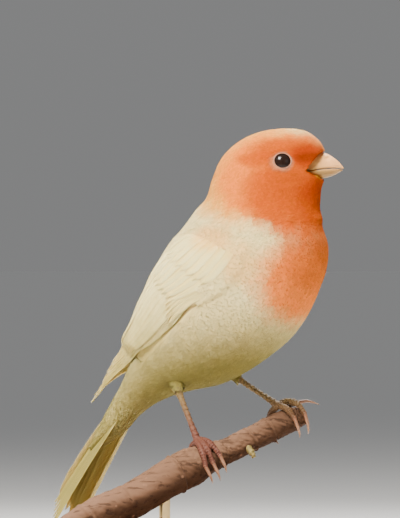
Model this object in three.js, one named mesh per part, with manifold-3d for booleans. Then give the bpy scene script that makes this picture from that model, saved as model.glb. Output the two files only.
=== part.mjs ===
// A canary, life size, as a still model: it grips a short length of branch on a plain display stand.
// Millimetres, +Z up, origin under the middle of the base. The bird's own frame runs f forward,
// l to its left and z up, and its body is turned from the +X direction towards -Y.
import * as THREE from "three";
import { mergeVertices } from "three/addons/utils/BufferGeometryUtils.js";
import Module from "manifold-3d";

const wasm = await Module();
wasm.setup();

const degree = Math.PI / 180;
const meshGap = 0.3;

const bodyHeading = 28 * degree;
const headHeading = 4 * degree;
const birdOrigin = { x: 7.83, y: 0 };
const neckPivot = 13.1;
const neckTurnsFrom = 6;
const neckTurnsTo = 10;

// Sections of the body from the bill to the tail: the point on the back, the point below and half the width
const bodyStations = [
  { at: "bill root", back: [30.7, 130.2], belly: [30.4, 122.6], half: 3.7 },
  { at: "lores", back: [28.7, 133.5], belly: [29.9, 121.3], half: 4.9 },
  { at: "forehead", back: [25.0, 136.2], belly: [29.4, 119.8], half: 6.0 },
  { at: "brow", back: [19.8, 137.0], belly: [29.2, 118.2], half: 7.1 },
  { at: "crown", back: [12.3, 136.2], belly: [29.1, 116.7], half: 8.1 },
  { at: "hind crown", back: [5.9, 133.5], belly: [29.0, 115.3], half: 9.1 },
  { at: "nape", back: [0.6, 128.6], belly: [29.0, 113.8], half: 10.2 },
  { at: "lower nape", back: [-2.3, 122.2], belly: [29.4, 112.1], half: 11.6 },
  { at: "throat", back: [-4.2, 117.0], belly: [30.4, 110.9], half: 12.8 },
  { at: "mantle", back: [-7.9, 113.5], belly: [31.2, 108.9], half: 14.2 },
  { at: "shoulders", back: [-11.9, 108.9], belly: [32.2, 103.4], half: 16.4 },
  { at: "breast", back: [-15.9, 104.3], belly: [31.4, 96.7], half: 17.9 },
  { at: "wing bend", back: [-19.1, 99.0], belly: [28.9, 90.3], half: 18.8 },
  { at: "belly", back: [-22.0, 93.5], belly: [25.2, 83.1], half: 19.0 },
  { at: "lower back", back: [-23.9, 88.0], belly: [19.9, 76.4], half: 18.3 },
  { at: "flanks", back: [-25.7, 83.1], belly: [12.9, 70.9], half: 16.6 },
  { at: "thighs", back: [-27.2, 78.2], belly: [5.5, 66.3], half: 14.4 },
  { at: "rump", back: [-28.7, 73.5], belly: [-2.5, 62.8], half: 12.0 },
  { at: "vent", back: [-30.2, 69.5], belly: [-11.2, 61.1], half: 9.6 },
  { at: "under the tail", back: [-31.9, 65.7], belly: [-18.9, 59.0], half: 7.8 },
  { at: "covert roots", back: [-33.8, 62.2], belly: [-24.6, 56.4], half: 6.2 },
  { at: "tail root", back: [-36.1, 58.8], belly: [-28.8, 53.4], half: 5.1 },
  { at: "coverts", back: [-38.7, 54.6], belly: [-33.2, 49.0], half: 4.7 },
  { at: "covert tips", back: [-41.4, 49.6], belly: [-37.6, 46.0], half: 4.2 },
  { at: "tail stem", back: [-44.2, 44.4], belly: [-42.4, 43.0], half: 3.4 },
];
const headEndsAt = 6.4;
const neckEndsAt = 9.2;
const torsoEndsAt = 20.6;
const sidesAround = 26;
const ringsPerStation = 2;

// Swellings and hollows of the head's sides, each a soft mound about a place in the bird's frame
const headRelief = [
  { at: "cheek", f: 15.5, z: 121.5, reach: 5.0, rise: 0.7 },
  { at: "brow ridge", f: 19.5, z: 132.0, reach: 3.0, rise: 0.45 },
  { at: "eye hollow", f: 18.4, z: 127.8, reach: 2.8, rise: -0.5 },
  { at: "lore hollow", f: 25.2, z: 127.6, reach: 2.4, rise: -0.45 },
];

// Where the folded wing lies, the torso is let in, so that the wing's face follows the body's outline
const wingBed = { from: 9.6, to: 16.0, depth: 2.2, fade: 1.0, edge: 9 };

const eye = { f: 18.4, z: 127.8, radius: 3.5, depth: 2.8, lidRadius: 2.25, lidThickness: 0.36 };

// The bill: upper and lower mandible from the gape's root to the tip, heights at the middle and half widths
const billStations = [
  { at: "root", f: 24.8, top: 129.3, line: 124.6, bottom: 122.6, half: 4.2 },
  { at: "gape", f: 27.2, top: 130.0, line: 124.9, bottom: 122.5, half: 4.1 },
  { at: "feather edge", f: 30.4, top: 129.9, line: 125.3, bottom: 122.7, half: 3.5 },
  { at: "middle", f: 33.0, top: 128.5, line: 125.5, bottom: 123.5, half: 2.5 },
  { at: "near the tip", f: 35.0, top: 127.0, line: 125.4, bottom: 124.5, half: 1.3 },
  { at: "tip", f: 36.2, top: 125.7, line: 125.2, bottom: 124.9, half: 0.35 },
];
const upperOverhang = 0.7;
const billSides = 10;
const billNotch = [[25.6, 124.9], [30.2, 130.6], [40.0, 130.6], [40.0, 121.6], [30.0, 121.8]];
const nostril = { f: 31.2, side: 2.1, z: 128.3, radius: 0.45, length: 2.0 };

// The folded wing's outer face: rows on the body give a station, the lower and upper edge in degrees from
// the back and how far each stands off, and the rows past the body give the two edges as places
const wingRows = [
  { at: "wrist", u: 9.8, low: 102, high: 56, lowOut: 0.1, highOut: -0.3, arch: 0 },
  { at: "shoulder", u: 10.7, low: 105, high: 37, lowOut: 0.6, highOut: 0.2, arch: 0 },
  { at: "lesser coverts", u: 11.7, low: 106, high: 25, lowOut: 0.9, highOut: 0.5, arch: 0.2 },
  { at: "median coverts", u: 12.6, low: 101, high: 18, lowOut: 0.9, highOut: 0.8, arch: 0.3 },
  { at: "greater coverts", u: 13.5, low: 88, high: 13, lowOut: 0.9, highOut: 1.2, arch: 0.3 },
  { at: "secondaries", u: 14.5, low: 83, high: 11, lowOut: 0.9, highOut: 2.3, arch: 0.3 },
  { at: "tertial tips", u: 15.6, low: 77, high: 11, lowOut: 0.9, highOut: 4.3, arch: 0.5 },
  { at: "over the rump", u: 16.6, low: 68, high: 12, lowOut: 1.0, highOut: 6.2, arch: 0.8 },
  { at: "past the rump", low: [-26.6, 8.5, 68.3], high: [-34.0, 2.6, 75.9], arch: 1.2 },
  { at: "primaries", low: [-30.6, 7.8, 65.9], high: [-36.0, 3.0, 71.6], arch: 0.8 },
  { at: "primary tips", low: [-35.2, 6.8, 62.9], high: [-38.6, 3.4, 66.4], arch: 0.5 },
  { at: "behind the tip", low: [-38.7, 6.1, 60.3], high: [-40.3, 4.0, 62.3], arch: 0.2 },
  { at: "tip", low: [-42.3, 5.4, 57.6], high: [-42.7, 4.4, 58.5], arch: 0 },
];
const wingColumns = 6;
const vaneThickness = 0.5;
const rootedDepth = 0.7;
const wingCore = { from: 0.0, to: 0.76, rows: 9, columns: 4, under: 1.0, thickness: 3.0 };
// Tiers of feathers: how many, where the first and last are rooted and end, as [along, across] shares of
// the wing, their widths, how high the first and last lie over the wing's face, and their end
const wingTiers = [
  { name: "primaries", count: 9, root: [[0.34, 0.08], [0.34, 0.36]], tip: [[0.995, 0.3], [0.76, 0.72]],
    width: [5.4, 6.0], height: [-1.2, -0.8], tilt: 0.2, point: 0.5 },
  { name: "secondaries", count: 5, root: [[0.26, 0.22], [0.24, 0.66]], tip: [[0.70, 0.50], [0.69, 0.78]],
    width: [7.2, 7.2], height: [-0.62, -0.34], tilt: 0.22, point: 0.25 },
  { name: "tertials", count: 3, root: [[0.24, 0.72], [0.20, 0.86]], tip: [[0.665, 0.82], [0.50, 0.90]],
    width: [7.4, 6.4], height: [-0.2, 0.2], tilt: 0.22, point: 0.3 },
  { name: "primary coverts", count: 2, root: [[0.14, 0.08], [0.14, 0.17]], tip: [[0.46, 0.10], [0.40, 0.22]],
    width: [4.2, 4.2], height: [-0.5, -0.3], tilt: 0.15, point: 0.4 },
  { name: "greater coverts", count: 5, root: [[0.14, 0.16], [0.13, 0.86]], tip: [[0.37, 0.26], [0.35, 0.90]],
    width: [6.4, 6.4], height: [-0.05, 0.15], tilt: 0.2, point: 0.2 },
  { name: "median coverts", count: 4, root: [[0.07, 0.18], [0.07, 0.82]], tip: [[0.225, 0.2], [0.215, 0.84]],
    width: [7.2, 7.2], height: [0.25, 0.35], tilt: 0.2, point: 0.15 },
];
const primaryShorter = [1.5, 0, 0, 2.5, 7, 10.5, 13.5, 16, 18];

// The tail: a roof of twelve feathers on an axis that slopes down and back
const tail = {
  root: [-35.2, 55.4], slope: 55.0 * degree, roof: 32 * degree, pairs: 6,
  rootSpread: 2.6, tipSpread: 7.6, width: 5.6, innerLength: 34.5, outerLength: 42.5,
  rise: 1.8, layer: 0.42,
};
const tailCoverts = [
  { name: "above", count: 2, side: 1, length: 14, spread: 2.4, width: 5.6, out: 1.1 },
  { name: "below", count: 3, side: -1, length: 17, spread: 3.0, width: 5.8, out: 1.9 },
];

// The branch's middle line and its radius at each point
const branchPoints = [
  { at: [-37.1, -21.8, 20.5], radius: 5.6 },
  { at: [-28.4, -18.3, 25.5], radius: 5.6 },
  { at: [-19.7, -14.8, 29.7], radius: 5.4 },
  { at: [-8.1, -10.1, 36.3], radius: 5.5 },
  { at: [-2.3, -7.7, 39.2], radius: 5.4 },
  { at: [2.9, -5.6, 41.8], radius: 4.4 },
  { at: [9.3, -3.0, 44.1], radius: 3.6 },
  { at: [15.1, -0.7, 47.1], radius: 3.6 },
  { at: [20.9, 1.6, 49.9], radius: 3.7 },
  { at: [26.0, 3.8, 52.1], radius: 3.4 },
  { at: [30.2, 5.4, 53.8], radius: 3.0 },
];
const branchSides = 12;
const branchRings = 26;
const branchRelief = 0.28;
const branchSeed = 7;
const budStub = { at: 0.66, around: 100 * degree, length: 4.6, radius: 1.5, tipRadius: 0.8 };

const toeRadius = { root: 1.05, end: 0.8 };
const toeSides = 6;
const toeRings = 6;
const clawSides = 6;
const clawArch = 0.5;
// Each foot: the share of the branch's length it stands at, how high its pad is, the heel's place, and its
// toes as stops of [along the branch, degrees round it from the top towards the viewer, height over the bark]
// with the claw's tip as one more stop
const feet = [
  {
    side: "right", share: 0.485, pad: 1.35, ankle: [-5.7, -2.8, 61.2], knee: [-6.6, 2.2, 68.0], knob: [3.2, 2.2],
    toes: [
      { name: "outer", stops: [[-0.5, 4, 1.3], [-1.2, 36, 1.3], [-2.0, 70, 0.95], [-2.6, 100, 0.9]],
        claw: [-2.2, 145, 3.2] },
      { name: "middle", stops: [[0.2, 4, 1.3], [0.2, 32, 1.4], [0.0, 68, 0.95], [-0.1, 100, 0.9]],
        claw: [0.3, 146, 3.4] },
      { name: "inner", stops: [[0.6, 2, 1.3], [1.5, 26, 1.2], [2.2, 58, 0.95], [2.7, 90, 0.9]],
        claw: [2.8, 136, 2.6] },
      { name: "back", stops: [[-0.2, 0, 1.1], [-0.9, -40, 1.1], [-1.4, -78, 0.95], [-1.6, -110, 0.9]],
        claw: [-1.6, -150, 2.8] },
    ],
  },
  {
    side: "left", share: 0.881, pad: 2.1, ankle: [11.4, 8.2, 64.6], knee: [7.6, 8.2, 71.5], knob: [3.2, 2.0],
    toes: [
      { name: "inner", stops: [[0.0, 2, 2.0], [0.9, 30, 1.6], [1.5, 56, 1.0], [1.7, 80, 0.9]],
        claw: [1.5, 142, 2.9] },
      { name: "middle", stops: [[0.3, 0, 2.1], [2.6, 8, 2.3], [4.7, 38, 1.7], [5.2, 80, 0.9]],
        claw: [4.4, 143, 2.9] },
      { name: "outer", stops: [[0.3, -4, 2.0], [2.6, -22, 1.5], [5.0, -34, 0.95], [6.9, -36, 0.6]],
        claw: [11.2, -50, -0.7] },
      { name: "back", stops: [[-0.4, 0, 1.9], [-1.6, -34, 1.2], [-2.4, -74, 0.95], [-2.8, -106, 0.9]],
        claw: [-2.9, -155, 2.6] },
    ],
  },
];
const shank = { heelRadius: 1.45, radius: 0.98, footRadius: 1.3, sides: 8 };

const thighSides = 10;
const thighRings = 6;

const standBase = { radius: 48, thickness: 10, edge: 2.2, foot: 0.6, sides: 36 };
const standRod = { radius: 1.6, height: 40, x: -9.6, y: -10.7, sides: 24 };

const finishes = {
  feathers: { color: 0xf1e8d6, roughness: 0.85, metalness: 0 },
  mask: { color: 0xf29559, roughness: 0.85, metalness: 0 },
  bill: { color: 0xe9c3a6, roughness: 0.45, metalness: 0 },
  eye: { color: 0x17110f, roughness: 0.08, metalness: 0 },
  skin: { color: 0xb8786a, roughness: 0.6, metalness: 0 },
  claw: { color: 0xcbb0a0, roughness: 0.4, metalness: 0 },
  bark: { color: 0x9c7268, roughness: 0.9, metalness: 0 },
  wood: { color: 0x8a6a4c, roughness: 0.5, metalness: 0 },
  brass: { color: 0xb8975a, roughness: 0.35, metalness: 1 },
};

// Numbers between 0 and 1 that are the same on every run
function seededRandom(seed) {
  let state = seed;
  return () => {
    state = (state * 1664525 + 1013904223) % 4294967296;
    return state / 4294967296;
  };
}

function mix(a, b, share) {
  return a + (b - a) * share;
}

function smoothStep(from, to, value) {
  const share = Math.min(1, Math.max(0, (value - from) / (to - from)));
  return share * share * (3 - 2 * share);
}

// A closed solid from points and triangles, turned right side out
function solidOf(points, faces) {
  let volume = 0;
  for (const [a, b, c] of faces) {
    volume += points[a].dot(new THREE.Vector3().crossVectors(points[b], points[c]));
  }
  const outward = volume > 0 ? faces : faces.map(([a, b, c]) => [a, c, b]);
  const vertProperties = new Float32Array(points.flatMap((point) => point.toArray()));
  const triVerts = new Uint32Array(outward.flat());
  return new wasm.Manifold(new wasm.Mesh({ numProp: 3, vertProperties, triVerts }));
}

function solidOfGeometry(geometry) {
  const bare = geometry.clone();
  bare.deleteAttribute("normal");
  bare.deleteAttribute("uv");
  const merged = mergeVertices(bare);
  const place = merged.getAttribute("position");
  const points = [];
  for (let i = 0; i < place.count; i += 1) {
    points.push(new THREE.Vector3().fromBufferAttribute(place, i));
  }
  const corners = merged.getIndex().array;
  const faces = [];
  for (let i = 0; i < corners.length; i += 3) {
    faces.push([corners[i], corners[i + 1], corners[i + 2]]);
  }
  return solidOf(points, faces);
}

// Joins rings of equal size into one closed body, with a pole in the middle of each end
function ringSolid(rings) {
  const around = rings[0].length;
  const points = rings.flat();
  const faces = [];
  for (let ring = 0; ring + 1 < rings.length; ring += 1) {
    for (let side = 0; side < around; side += 1) {
      const next = (side + 1) % around;
      const here = ring * around;
      const there = here + around;
      faces.push([here + side, here + next, there + next]);
      faces.push([here + side, there + next, there + side]);
    }
  }
  for (const [ring, turned] of [[0, true], [rings.length - 1, false]]) {
    const pole = points.length;
    const middle = new THREE.Vector3();
    for (const point of rings[ring]) {
      middle.addScaledVector(point, 1 / around);
    }
    points.push(middle);
    for (let side = 0; side < around; side += 1) {
      const a = ring * around + side;
      const b = ring * around + ((side + 1) % around);
      faces.push(turned ? [b, a, pole] : [a, b, pole]);
    }
  }
  return solidOf(points, faces);
}

// Closes an upper and a lower grid of points into one thin body, split alike on both faces
function sheetSolid(upper, lower) {
  const rows = upper.length;
  const columns = upper[0].length;
  const points = [...upper.flat(), ...lower.flat()];
  const below = rows * columns;
  const faces = [];
  const corner = (row, column) => row * columns + column;
  for (let row = 0; row + 1 < rows; row += 1) {
    for (let column = 0; column + 1 < columns; column += 1) {
      const a = corner(row, column);
      const b = corner(row, column + 1);
      const c = corner(row + 1, column + 1);
      const d = corner(row + 1, column);
      faces.push([a, b, c], [a, c, d]);
      faces.push([below + a, below + c, below + b], [below + a, below + d, below + c]);
    }
  }
  const rim = [];
  for (let column = 0; column + 1 < columns; column += 1) {
    rim.push(corner(0, column));
  }
  for (let row = 0; row + 1 < rows; row += 1) {
    rim.push(corner(row, columns - 1));
  }
  for (let column = columns - 1; column > 0; column -= 1) {
    rim.push(corner(rows - 1, column));
  }
  for (let row = rows - 1; row > 0; row -= 1) {
    rim.push(corner(row, 0));
  }
  rim.forEach((here, i) => {
    const next = rim[(i + 1) % rim.length];
    faces.push([next, here, below + here], [next, below + here, below + next]);
  });
  return solidOf(points, faces);
}

// A round tube through places with a radius at each, its two ends closed
function tubeSolid(places, radii, sides, steps, ripple = () => 0) {
  const path = new THREE.CatmullRomCurve3(places);
  const rings = [];
  let across = null;
  for (let step = 0; step <= steps; step += 1) {
    const share = step / steps;
    const middle = path.getPoint(share);
    const along = path.getTangent(share);
    if (!across) {
      const helper = Math.abs(along.z) < 0.9 ? new THREE.Vector3(0, 0, 1) : new THREE.Vector3(0, 1, 0);
      across = new THREE.Vector3().crossVectors(along, helper);
    }
    across.addScaledVector(along, -across.dot(along)).normalize();
    const up = new THREE.Vector3().crossVectors(across, along);
    const at = share * (radii.length - 1);
    const from = Math.min(radii.length - 2, Math.floor(at));
    const radius = mix(radii[from], radii[from + 1], smoothStep(0, 1, at - from));
    const ring = [];
    for (let side = 0; side < sides; side += 1) {
      const angle = (side / sides) * 2 * Math.PI;
      const reach = radius + ripple(share, angle);
      const point = middle.clone();
      point.addScaledVector(across, Math.cos(angle) * reach);
      point.addScaledVector(up, Math.sin(angle) * reach);
      ring.push(point);
    }
    rings.push(ring);
  }
  return ringSolid(rings);
}

function joined(solids) {
  return solids.reduce((whole, solid) => whole.add(solid));
}

function largestBody(solid) {
  return solid.decompose().reduce((best, body) => (body.volume() > best.volume() ? body : best));
}

// The bird's frame turned into the model's, where turn is 0 at the head's heading and 1 at the body's
function placed(point, turn) {
  const heading = mix(headHeading, bodyHeading, turn);
  const forward = point.x - neckPivot;
  return new THREE.Vector3(
    birdOrigin.x + neckPivot * Math.cos(bodyHeading) + forward * Math.cos(heading) + point.y * Math.sin(heading),
    birdOrigin.y - neckPivot * Math.sin(bodyHeading) - forward * Math.sin(heading) + point.y * Math.cos(heading),
    point.z,
  );
}

function turnAt(u) {
  return smoothStep(neckTurnsFrom, neckTurnsTo, u);
}

const lastStation = bodyStations.length - 1;
const backLine = new THREE.CatmullRomCurve3(
  bodyStations.map(({ back }) => new THREE.Vector3(back[0], 0, back[1])));
const bellyLine = new THREE.CatmullRomCurve3(
  bodyStations.map(({ belly }) => new THREE.Vector3(belly[0], 0, belly[1])));
const halfLine = new THREE.CatmullRomCurve3(
  bodyStations.map(({ half }, i) => new THREE.Vector3(i, half, 0)));

// The section's two end points and half width at a station number, which may lie between two stations
function section(u) {
  const share = Math.min(1, Math.max(0, u / lastStation));
  return { back: backLine.getPoint(share), belly: bellyLine.getPoint(share), half: halfLine.getPoint(share).y };
}

// A point of the plain body, angle 0 on the back and 180 degrees below, in the bird's frame
function plainPoint(u, angle) {
  const { back, belly, half } = section(u);
  const point = back.clone().add(belly).multiplyScalar(0.5);
  point.addScaledVector(back.clone().sub(belly), 0.5 * Math.cos(angle));
  point.y = half * Math.sin(angle);
  return point;
}

function plainNormal(u, angle) {
  const along = plainPoint(u + 0.05, angle).sub(plainPoint(u - 0.05, angle));
  const around = plainPoint(u, angle + 0.02).sub(plainPoint(u, angle - 0.02));
  return new THREE.Vector3().crossVectors(around, along).normalize();
}

// Where a place seen from the side lies on the body: its station number and angle
function sideAt(f, z) {
  let low = 0;
  let high = neckEndsAt;
  const ahead = (u) => {
    const { back, belly } = section(u);
    const chord = back.clone().sub(belly);
    return (f - belly.x) * chord.z - (z - belly.z) * chord.x;
  };
  for (let round = 0; round < 40; round += 1) {
    const middle = (low + high) / 2;
    if (ahead(middle) > 0) {
      high = middle;
    } else {
      low = middle;
    }
  }
  const { back, belly } = section(low);
  const chord = back.clone().sub(belly);
  const share = ((f - belly.x) * chord.x + (z - belly.z) * chord.z) / chord.lengthSq();
  return { u: low, angle: Math.acos(Math.min(1, Math.max(-1, 2 * share - 1))) };
}

// The wing rows on the body, as numbers of the station, give the wing bed's edges
const bodyRows = wingRows.filter((row) => row.u !== undefined);
function wingEdges(u) {
  const last = bodyRows.length - 1;
  const next = Math.max(1, bodyRows.findIndex((row, i) => row.u >= u || i === last));
  const before = bodyRows[next - 1];
  const after = bodyRows[next];
  const share = Math.min(1, Math.max(0, (u - before.u) / (after.u - before.u)));
  return { low: mix(before.low, after.low, share), high: mix(before.high, after.high, share) };
}

function reliefAt(point, u, angle) {
  let rise = 0;
  const sideways = Math.sin(angle) ** 2;
  for (const mound of headRelief) {
    const distance = Math.hypot(point.x - mound.f, point.z - mound.z) / mound.reach;
    rise += mound.rise * sideways * Math.exp(-distance * distance);
  }
  const edges = wingEdges(u);
  const turned = Math.abs(angle) / degree;
  const inside = smoothStep(edges.high - wingBed.edge, edges.high, turned)
    * (1 - smoothStep(edges.low - wingBed.edge, edges.low, turned))
    * smoothStep(wingBed.from, wingBed.from + wingBed.fade, u)
    * (1 - smoothStep(wingBed.to - 2 * wingBed.fade, wingBed.to, u));
  return rise - wingBed.depth * inside;
}

function bodySolid(from, to, grow) {
  const count = Math.round((to - from) * ringsPerStation);
  const rings = [];
  for (let i = 0; i <= count; i += 1) {
    const u = mix(from, to, i / count);
    const ring = [];
    for (let side = 0; side < sidesAround; side += 1) {
      const angle = ((side + 0.5) / sidesAround) * 2 * Math.PI;
      const signed = angle > Math.PI ? angle - 2 * Math.PI : angle;
      const point = plainPoint(u, signed);
      const out = reliefAt(point, u, signed) + grow;
      point.addScaledVector(plainNormal(u, signed), out);
      ring.push(placed(point, turnAt(u)));
    }
    rings.push(ring);
  }
  return ringSolid(rings);
}

// Cuts a solid across the body at a station, keeping the tail's side or the head's, half a gap from the cut
function cutAt(solid, u, keepBehind) {
  const { back, belly } = section(u);
  const chord = belly.clone().sub(back);
  const middle = back.clone().add(belly).multiplyScalar(0.5);
  const behind = new THREE.Vector3(chord.z, 0, -chord.x).normalize();
  const onward = section(u + 0.5);
  if (onward.back.clone().add(onward.belly).multiplyScalar(0.5).sub(middle).dot(behind) < 0) {
    behind.negate();
  }
  const turn = turnAt(u);
  const at = placed(middle, turn);
  const normal = placed(middle.clone().add(behind), turn).sub(at);
  if (!keepBehind) {
    normal.negate();
  }
  return solid.trimByPlane(normal.toArray(), at.dot(normal) + meshGap / 2);
}

// The bill in the head's frame: each mandible is half a cone, flat along the mouth's line
function mandible(isUpper, grow) {
  const stops = billStations.map((stop) => {
    const overhang = isUpper && stop.at === "tip" ? upperOverhang : 0;
    return { ...stop, f: stop.f + overhang };
  });
  const fine = [];
  const lines = ["top", "line", "bottom", "half"].map((name) => new THREE.CatmullRomCurve3(
    stops.map((stop) => new THREE.Vector3(stop.f, stop[name], 0))));
  const steps = (stops.length - 1) * 2;
  for (let step = 0; step <= steps; step += 1) {
    const [top, line, bottom, half] = lines.map((curve) => curve.getPoint(step / steps));
    const longer = { 0: -grow, [steps]: grow }[step] ?? 0;
    fine.push({ f: top.x + longer, top: top.y, line: line.y, bottom: bottom.y, half: half.y });
  }
  const rings = fine.map((stop) => {
    const ring = [];
    const lineHeight = stop.line + (isUpper ? meshGap / 2 - grow : grow - meshGap / 2);
    const reach = isUpper ? stop.top + grow - lineHeight : stop.bottom - grow - lineHeight;
    const half = stop.half + grow;
    const away = Math.max(Math.abs(reach), 0.35) * Math.sign(reach);
    for (let side = 0; side <= billSides; side += 1) {
      const angle = (side / billSides) * Math.PI;
      const squeeze = Math.sin(angle) ** 0.9;
      ring.push(placed(new THREE.Vector3(stop.f, half * Math.cos(angle), lineHeight + away * squeeze), 0));
    }
    return ring;
  });
  return ringSolid(rings);
}

function notchCutter() {
  const outline = new THREE.Shape(billNotch.map(([f, z]) => new THREE.Vector2(f, z)));
  const reach = 12;
  const prism = new THREE.ExtrudeGeometry(outline, { depth: 2 * reach, bevelEnabled: false });
  prism.translate(0, 0, -reach);
  prism.rotateX(Math.PI / 2);
  const place = prism.getAttribute("position");
  for (let i = 0; i < place.count; i += 1) {
    const point = placed(new THREE.Vector3().fromBufferAttribute(place, i), 0);
    place.setXYZ(i, point.x, point.y, point.z);
  }
  return solidOfGeometry(prism);
}

function nostrilCutter(side) {
  const start = new THREE.Vector3(nostril.f, side * (nostril.side - nostril.length / 2), nostril.z);
  const end = new THREE.Vector3(nostril.f - 0.3, side * (nostril.side + nostril.length), nostril.z + 0.6);
  return tubeSolid([placed(start, 0), placed(end, 0)], [nostril.radius, nostril.radius], 8, 1);
}

// Each eye's middle, and the way it looks, in the model's frame
function eyePlace(side) {
  const { u, angle } = sideAt(eye.f, eye.z);
  const surface = plainPoint(u, angle * side);
  const outward = plainNormal(u, angle * side).multiplyScalar(side);
  if (outward.y * side < 0) {
    outward.negate();
  }
  const middle = surface.clone().addScaledVector(outward, -eye.depth);
  const at = placed(middle, 0);
  return { middle: at, outward: placed(middle.clone().add(outward), 0).sub(at) };
}

function eyeSolid(side, grow) {
  const ball = new THREE.SphereGeometry(eye.radius + grow, 14, 9);
  const { middle } = eyePlace(side);
  ball.translate(middle.x, middle.y, middle.z);
  return solidOfGeometry(ball);
}

function lidSolid(side) {
  const ring = new THREE.TorusGeometry(eye.lidRadius, eye.lidThickness, 5, 16);
  const { middle, outward } = eyePlace(side);
  const turn = new THREE.Quaternion().setFromUnitVectors(new THREE.Vector3(0, 0, 1), outward);
  ring.applyQuaternion(turn);
  const reach = Math.sqrt(eye.radius ** 2 - eye.lidRadius ** 2);
  const at = middle.clone().addScaledVector(outward, reach);
  ring.translate(at.x, at.y, at.z);
  return solidOfGeometry(ring);
}

// The wing's outer face as columns of curves, so that any share along and across gives a place
function wingFace(side) {
  const columns = [];
  for (let column = 0; column <= wingColumns; column += 1) {
    const across = column / wingColumns;
    const places = wingRows.map((row) => {
      const bulge = row.arch * Math.sin(Math.PI * across);
      if (row.u !== undefined) {
        const angle = mix(row.low, row.high, across) * degree * side;
        const out = mix(row.lowOut, row.highOut, across) + bulge;
        return plainPoint(row.u, angle).addScaledVector(plainNormal(row.u, angle), out);
      }
      const low = new THREE.Vector3(row.low[0], row.low[1] * side, row.low[2]);
      const high = new THREE.Vector3(row.high[0], row.high[1] * side, row.high[2]);
      const place = low.lerp(high, across);
      return place.add(new THREE.Vector3(-0.35 * bulge, side * 0.75 * bulge, 0.55 * bulge));
    });
    columns.push(new THREE.CatmullRomCurve3(places));
  }
  const at = (along, across) => {
    const share = Math.min(1, Math.max(0, along));
    const line = new THREE.CatmullRomCurve3(columns.map((curve) => curve.getPointAt(share)));
    return line.getPoint(Math.min(1, Math.max(0, across)));
  };
  const frame = (along, across) => {
    const here = at(along, across);
    const ahead = at(Math.min(1, along + 0.01), across).sub(at(along - 0.01, across));
    const up = at(along, Math.min(1, across + 0.02)).sub(at(along, Math.max(0, across - 0.02)));
    const outward = new THREE.Vector3().crossVectors(ahead, up).normalize();
    if (outward.y * side < 0) {
      outward.negate();
    }
    return { here, outward };
  };
  const width = (along) => at(along, 0).distanceTo(at(along, 1));
  const length = columns[Math.round(wingColumns / 2)].getLength();
  return { frame, width, length };
}

// Shares of a vane's length, and how wide it is there next to its full width
const vaneStops = [0, 0.4, 0.82, 1];
const vaneShape = [0.6, 1.0, 0.86, 0.24];

function wingVane(face, root, tip, width, height, tilt, point) {
  const upper = [];
  const lower = [];
  vaneStops.forEach((share, i) => {
    const along = mix(root[0], tip[0], share);
    const across = mix(root[1], tip[1], share);
    const narrowed = vaneShape[i] * (i === 2 ? 1 - 0.3 * point : 1);
    const half = (0.5 * width * narrowed) / Math.max(1, face.width(along));
    const lift = i === 0 ? -0.5 : 0;
    const low = face.frame(along, Math.max(0, across - half));
    const middle = face.frame(along, Math.min(1, Math.max(0, across)));
    const high = face.frame(along, Math.min(1, across + half));
    const rows = [[low, height + tilt], [middle, height + 0.12], [high, height - tilt]];
    const overCore = along < wingCore.to - 0.08;
    const underside = (out) => (overCore ? Math.min(out - vaneThickness, -wingCore.under - rootedDepth)
      : out - vaneThickness);
    const place = (spot, out) => placed(spot.here.clone().addScaledVector(spot.outward, out), 1);
    upper.push(rows.map(([spot, out]) => place(spot, out + lift)));
    lower.push(rows.map(([spot, out]) => place(spot, underside(out + lift))));
  });
  return sheetSolid(upper, lower);
}

function wingSolid(side) {
  const face = wingFace(side);
  const upper = [];
  const lower = [];
  for (let row = 0; row <= wingCore.rows; row += 1) {
    const along = mix(wingCore.from, wingCore.to, row / wingCore.rows);
    const late = smoothStep(0.5, 1, row / wingCore.rows);
    const rise = mix(0, -wingCore.under, smoothStep(0.02, 0.22, along));
    const thickness = mix(wingCore.thickness, 1.2, late);
    const upperRow = [];
    const lowerRow = [];
    for (let column = 0; column <= wingCore.columns; column += 1) {
      const share = column / wingCore.columns;
      const early = 1 - smoothStep(0, 0.14, along);
      const across = mix(0.02 + 0.25 * early + 0.1 * late, 0.98 - 0.3 * early - 0.1 * late, share);
      const rim = column === 0 || column === wingCore.columns ? 0.35 : 0;
      const { here, outward } = face.frame(along, across);
      const top = rise - rim;
      upperRow.push(placed(here.clone().addScaledVector(outward, top), 1));
      lowerRow.push(placed(here.clone().addScaledVector(outward, top - thickness + rim), 1));
    }
    upper.push(upperRow);
    lower.push(lowerRow);
  }
  const pieces = [sheetSolid(upper, lower)];
  for (const tier of wingTiers) {
    for (let i = 0; i < tier.count; i += 1) {
      const share = i / (tier.count - 1);
      const root = [0, 1].map((axis) => mix(tier.root[0][axis], tier.root[1][axis], share));
      const tip = [0, 1].map((axis) => mix(tier.tip[0][axis], tier.tip[1][axis], share));
      if (tier.name === "primaries") {
        tip[0] = 1 - primaryShorter[i] / face.length;
      }
      const width = mix(tier.width[0], tier.width[1], share);
      const height = mix(tier.height[0], tier.height[1], share);
      pieces.push(wingVane(face, root, tip, width, height, tier.tilt, tier.point));
    }
  }
  return joined(pieces);
}

// A place of the tail: along its axis, to the left, and out from its upper face
function tailPlace(along, left, out) {
  const back = -Math.cos(tail.slope);
  const down = -Math.sin(tail.slope);
  const f = tail.root[0] + along * back + out * down;
  const z = tail.root[1] + along * down - out * back;
  return placed(new THREE.Vector3(f, left, z), 1);
}

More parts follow.
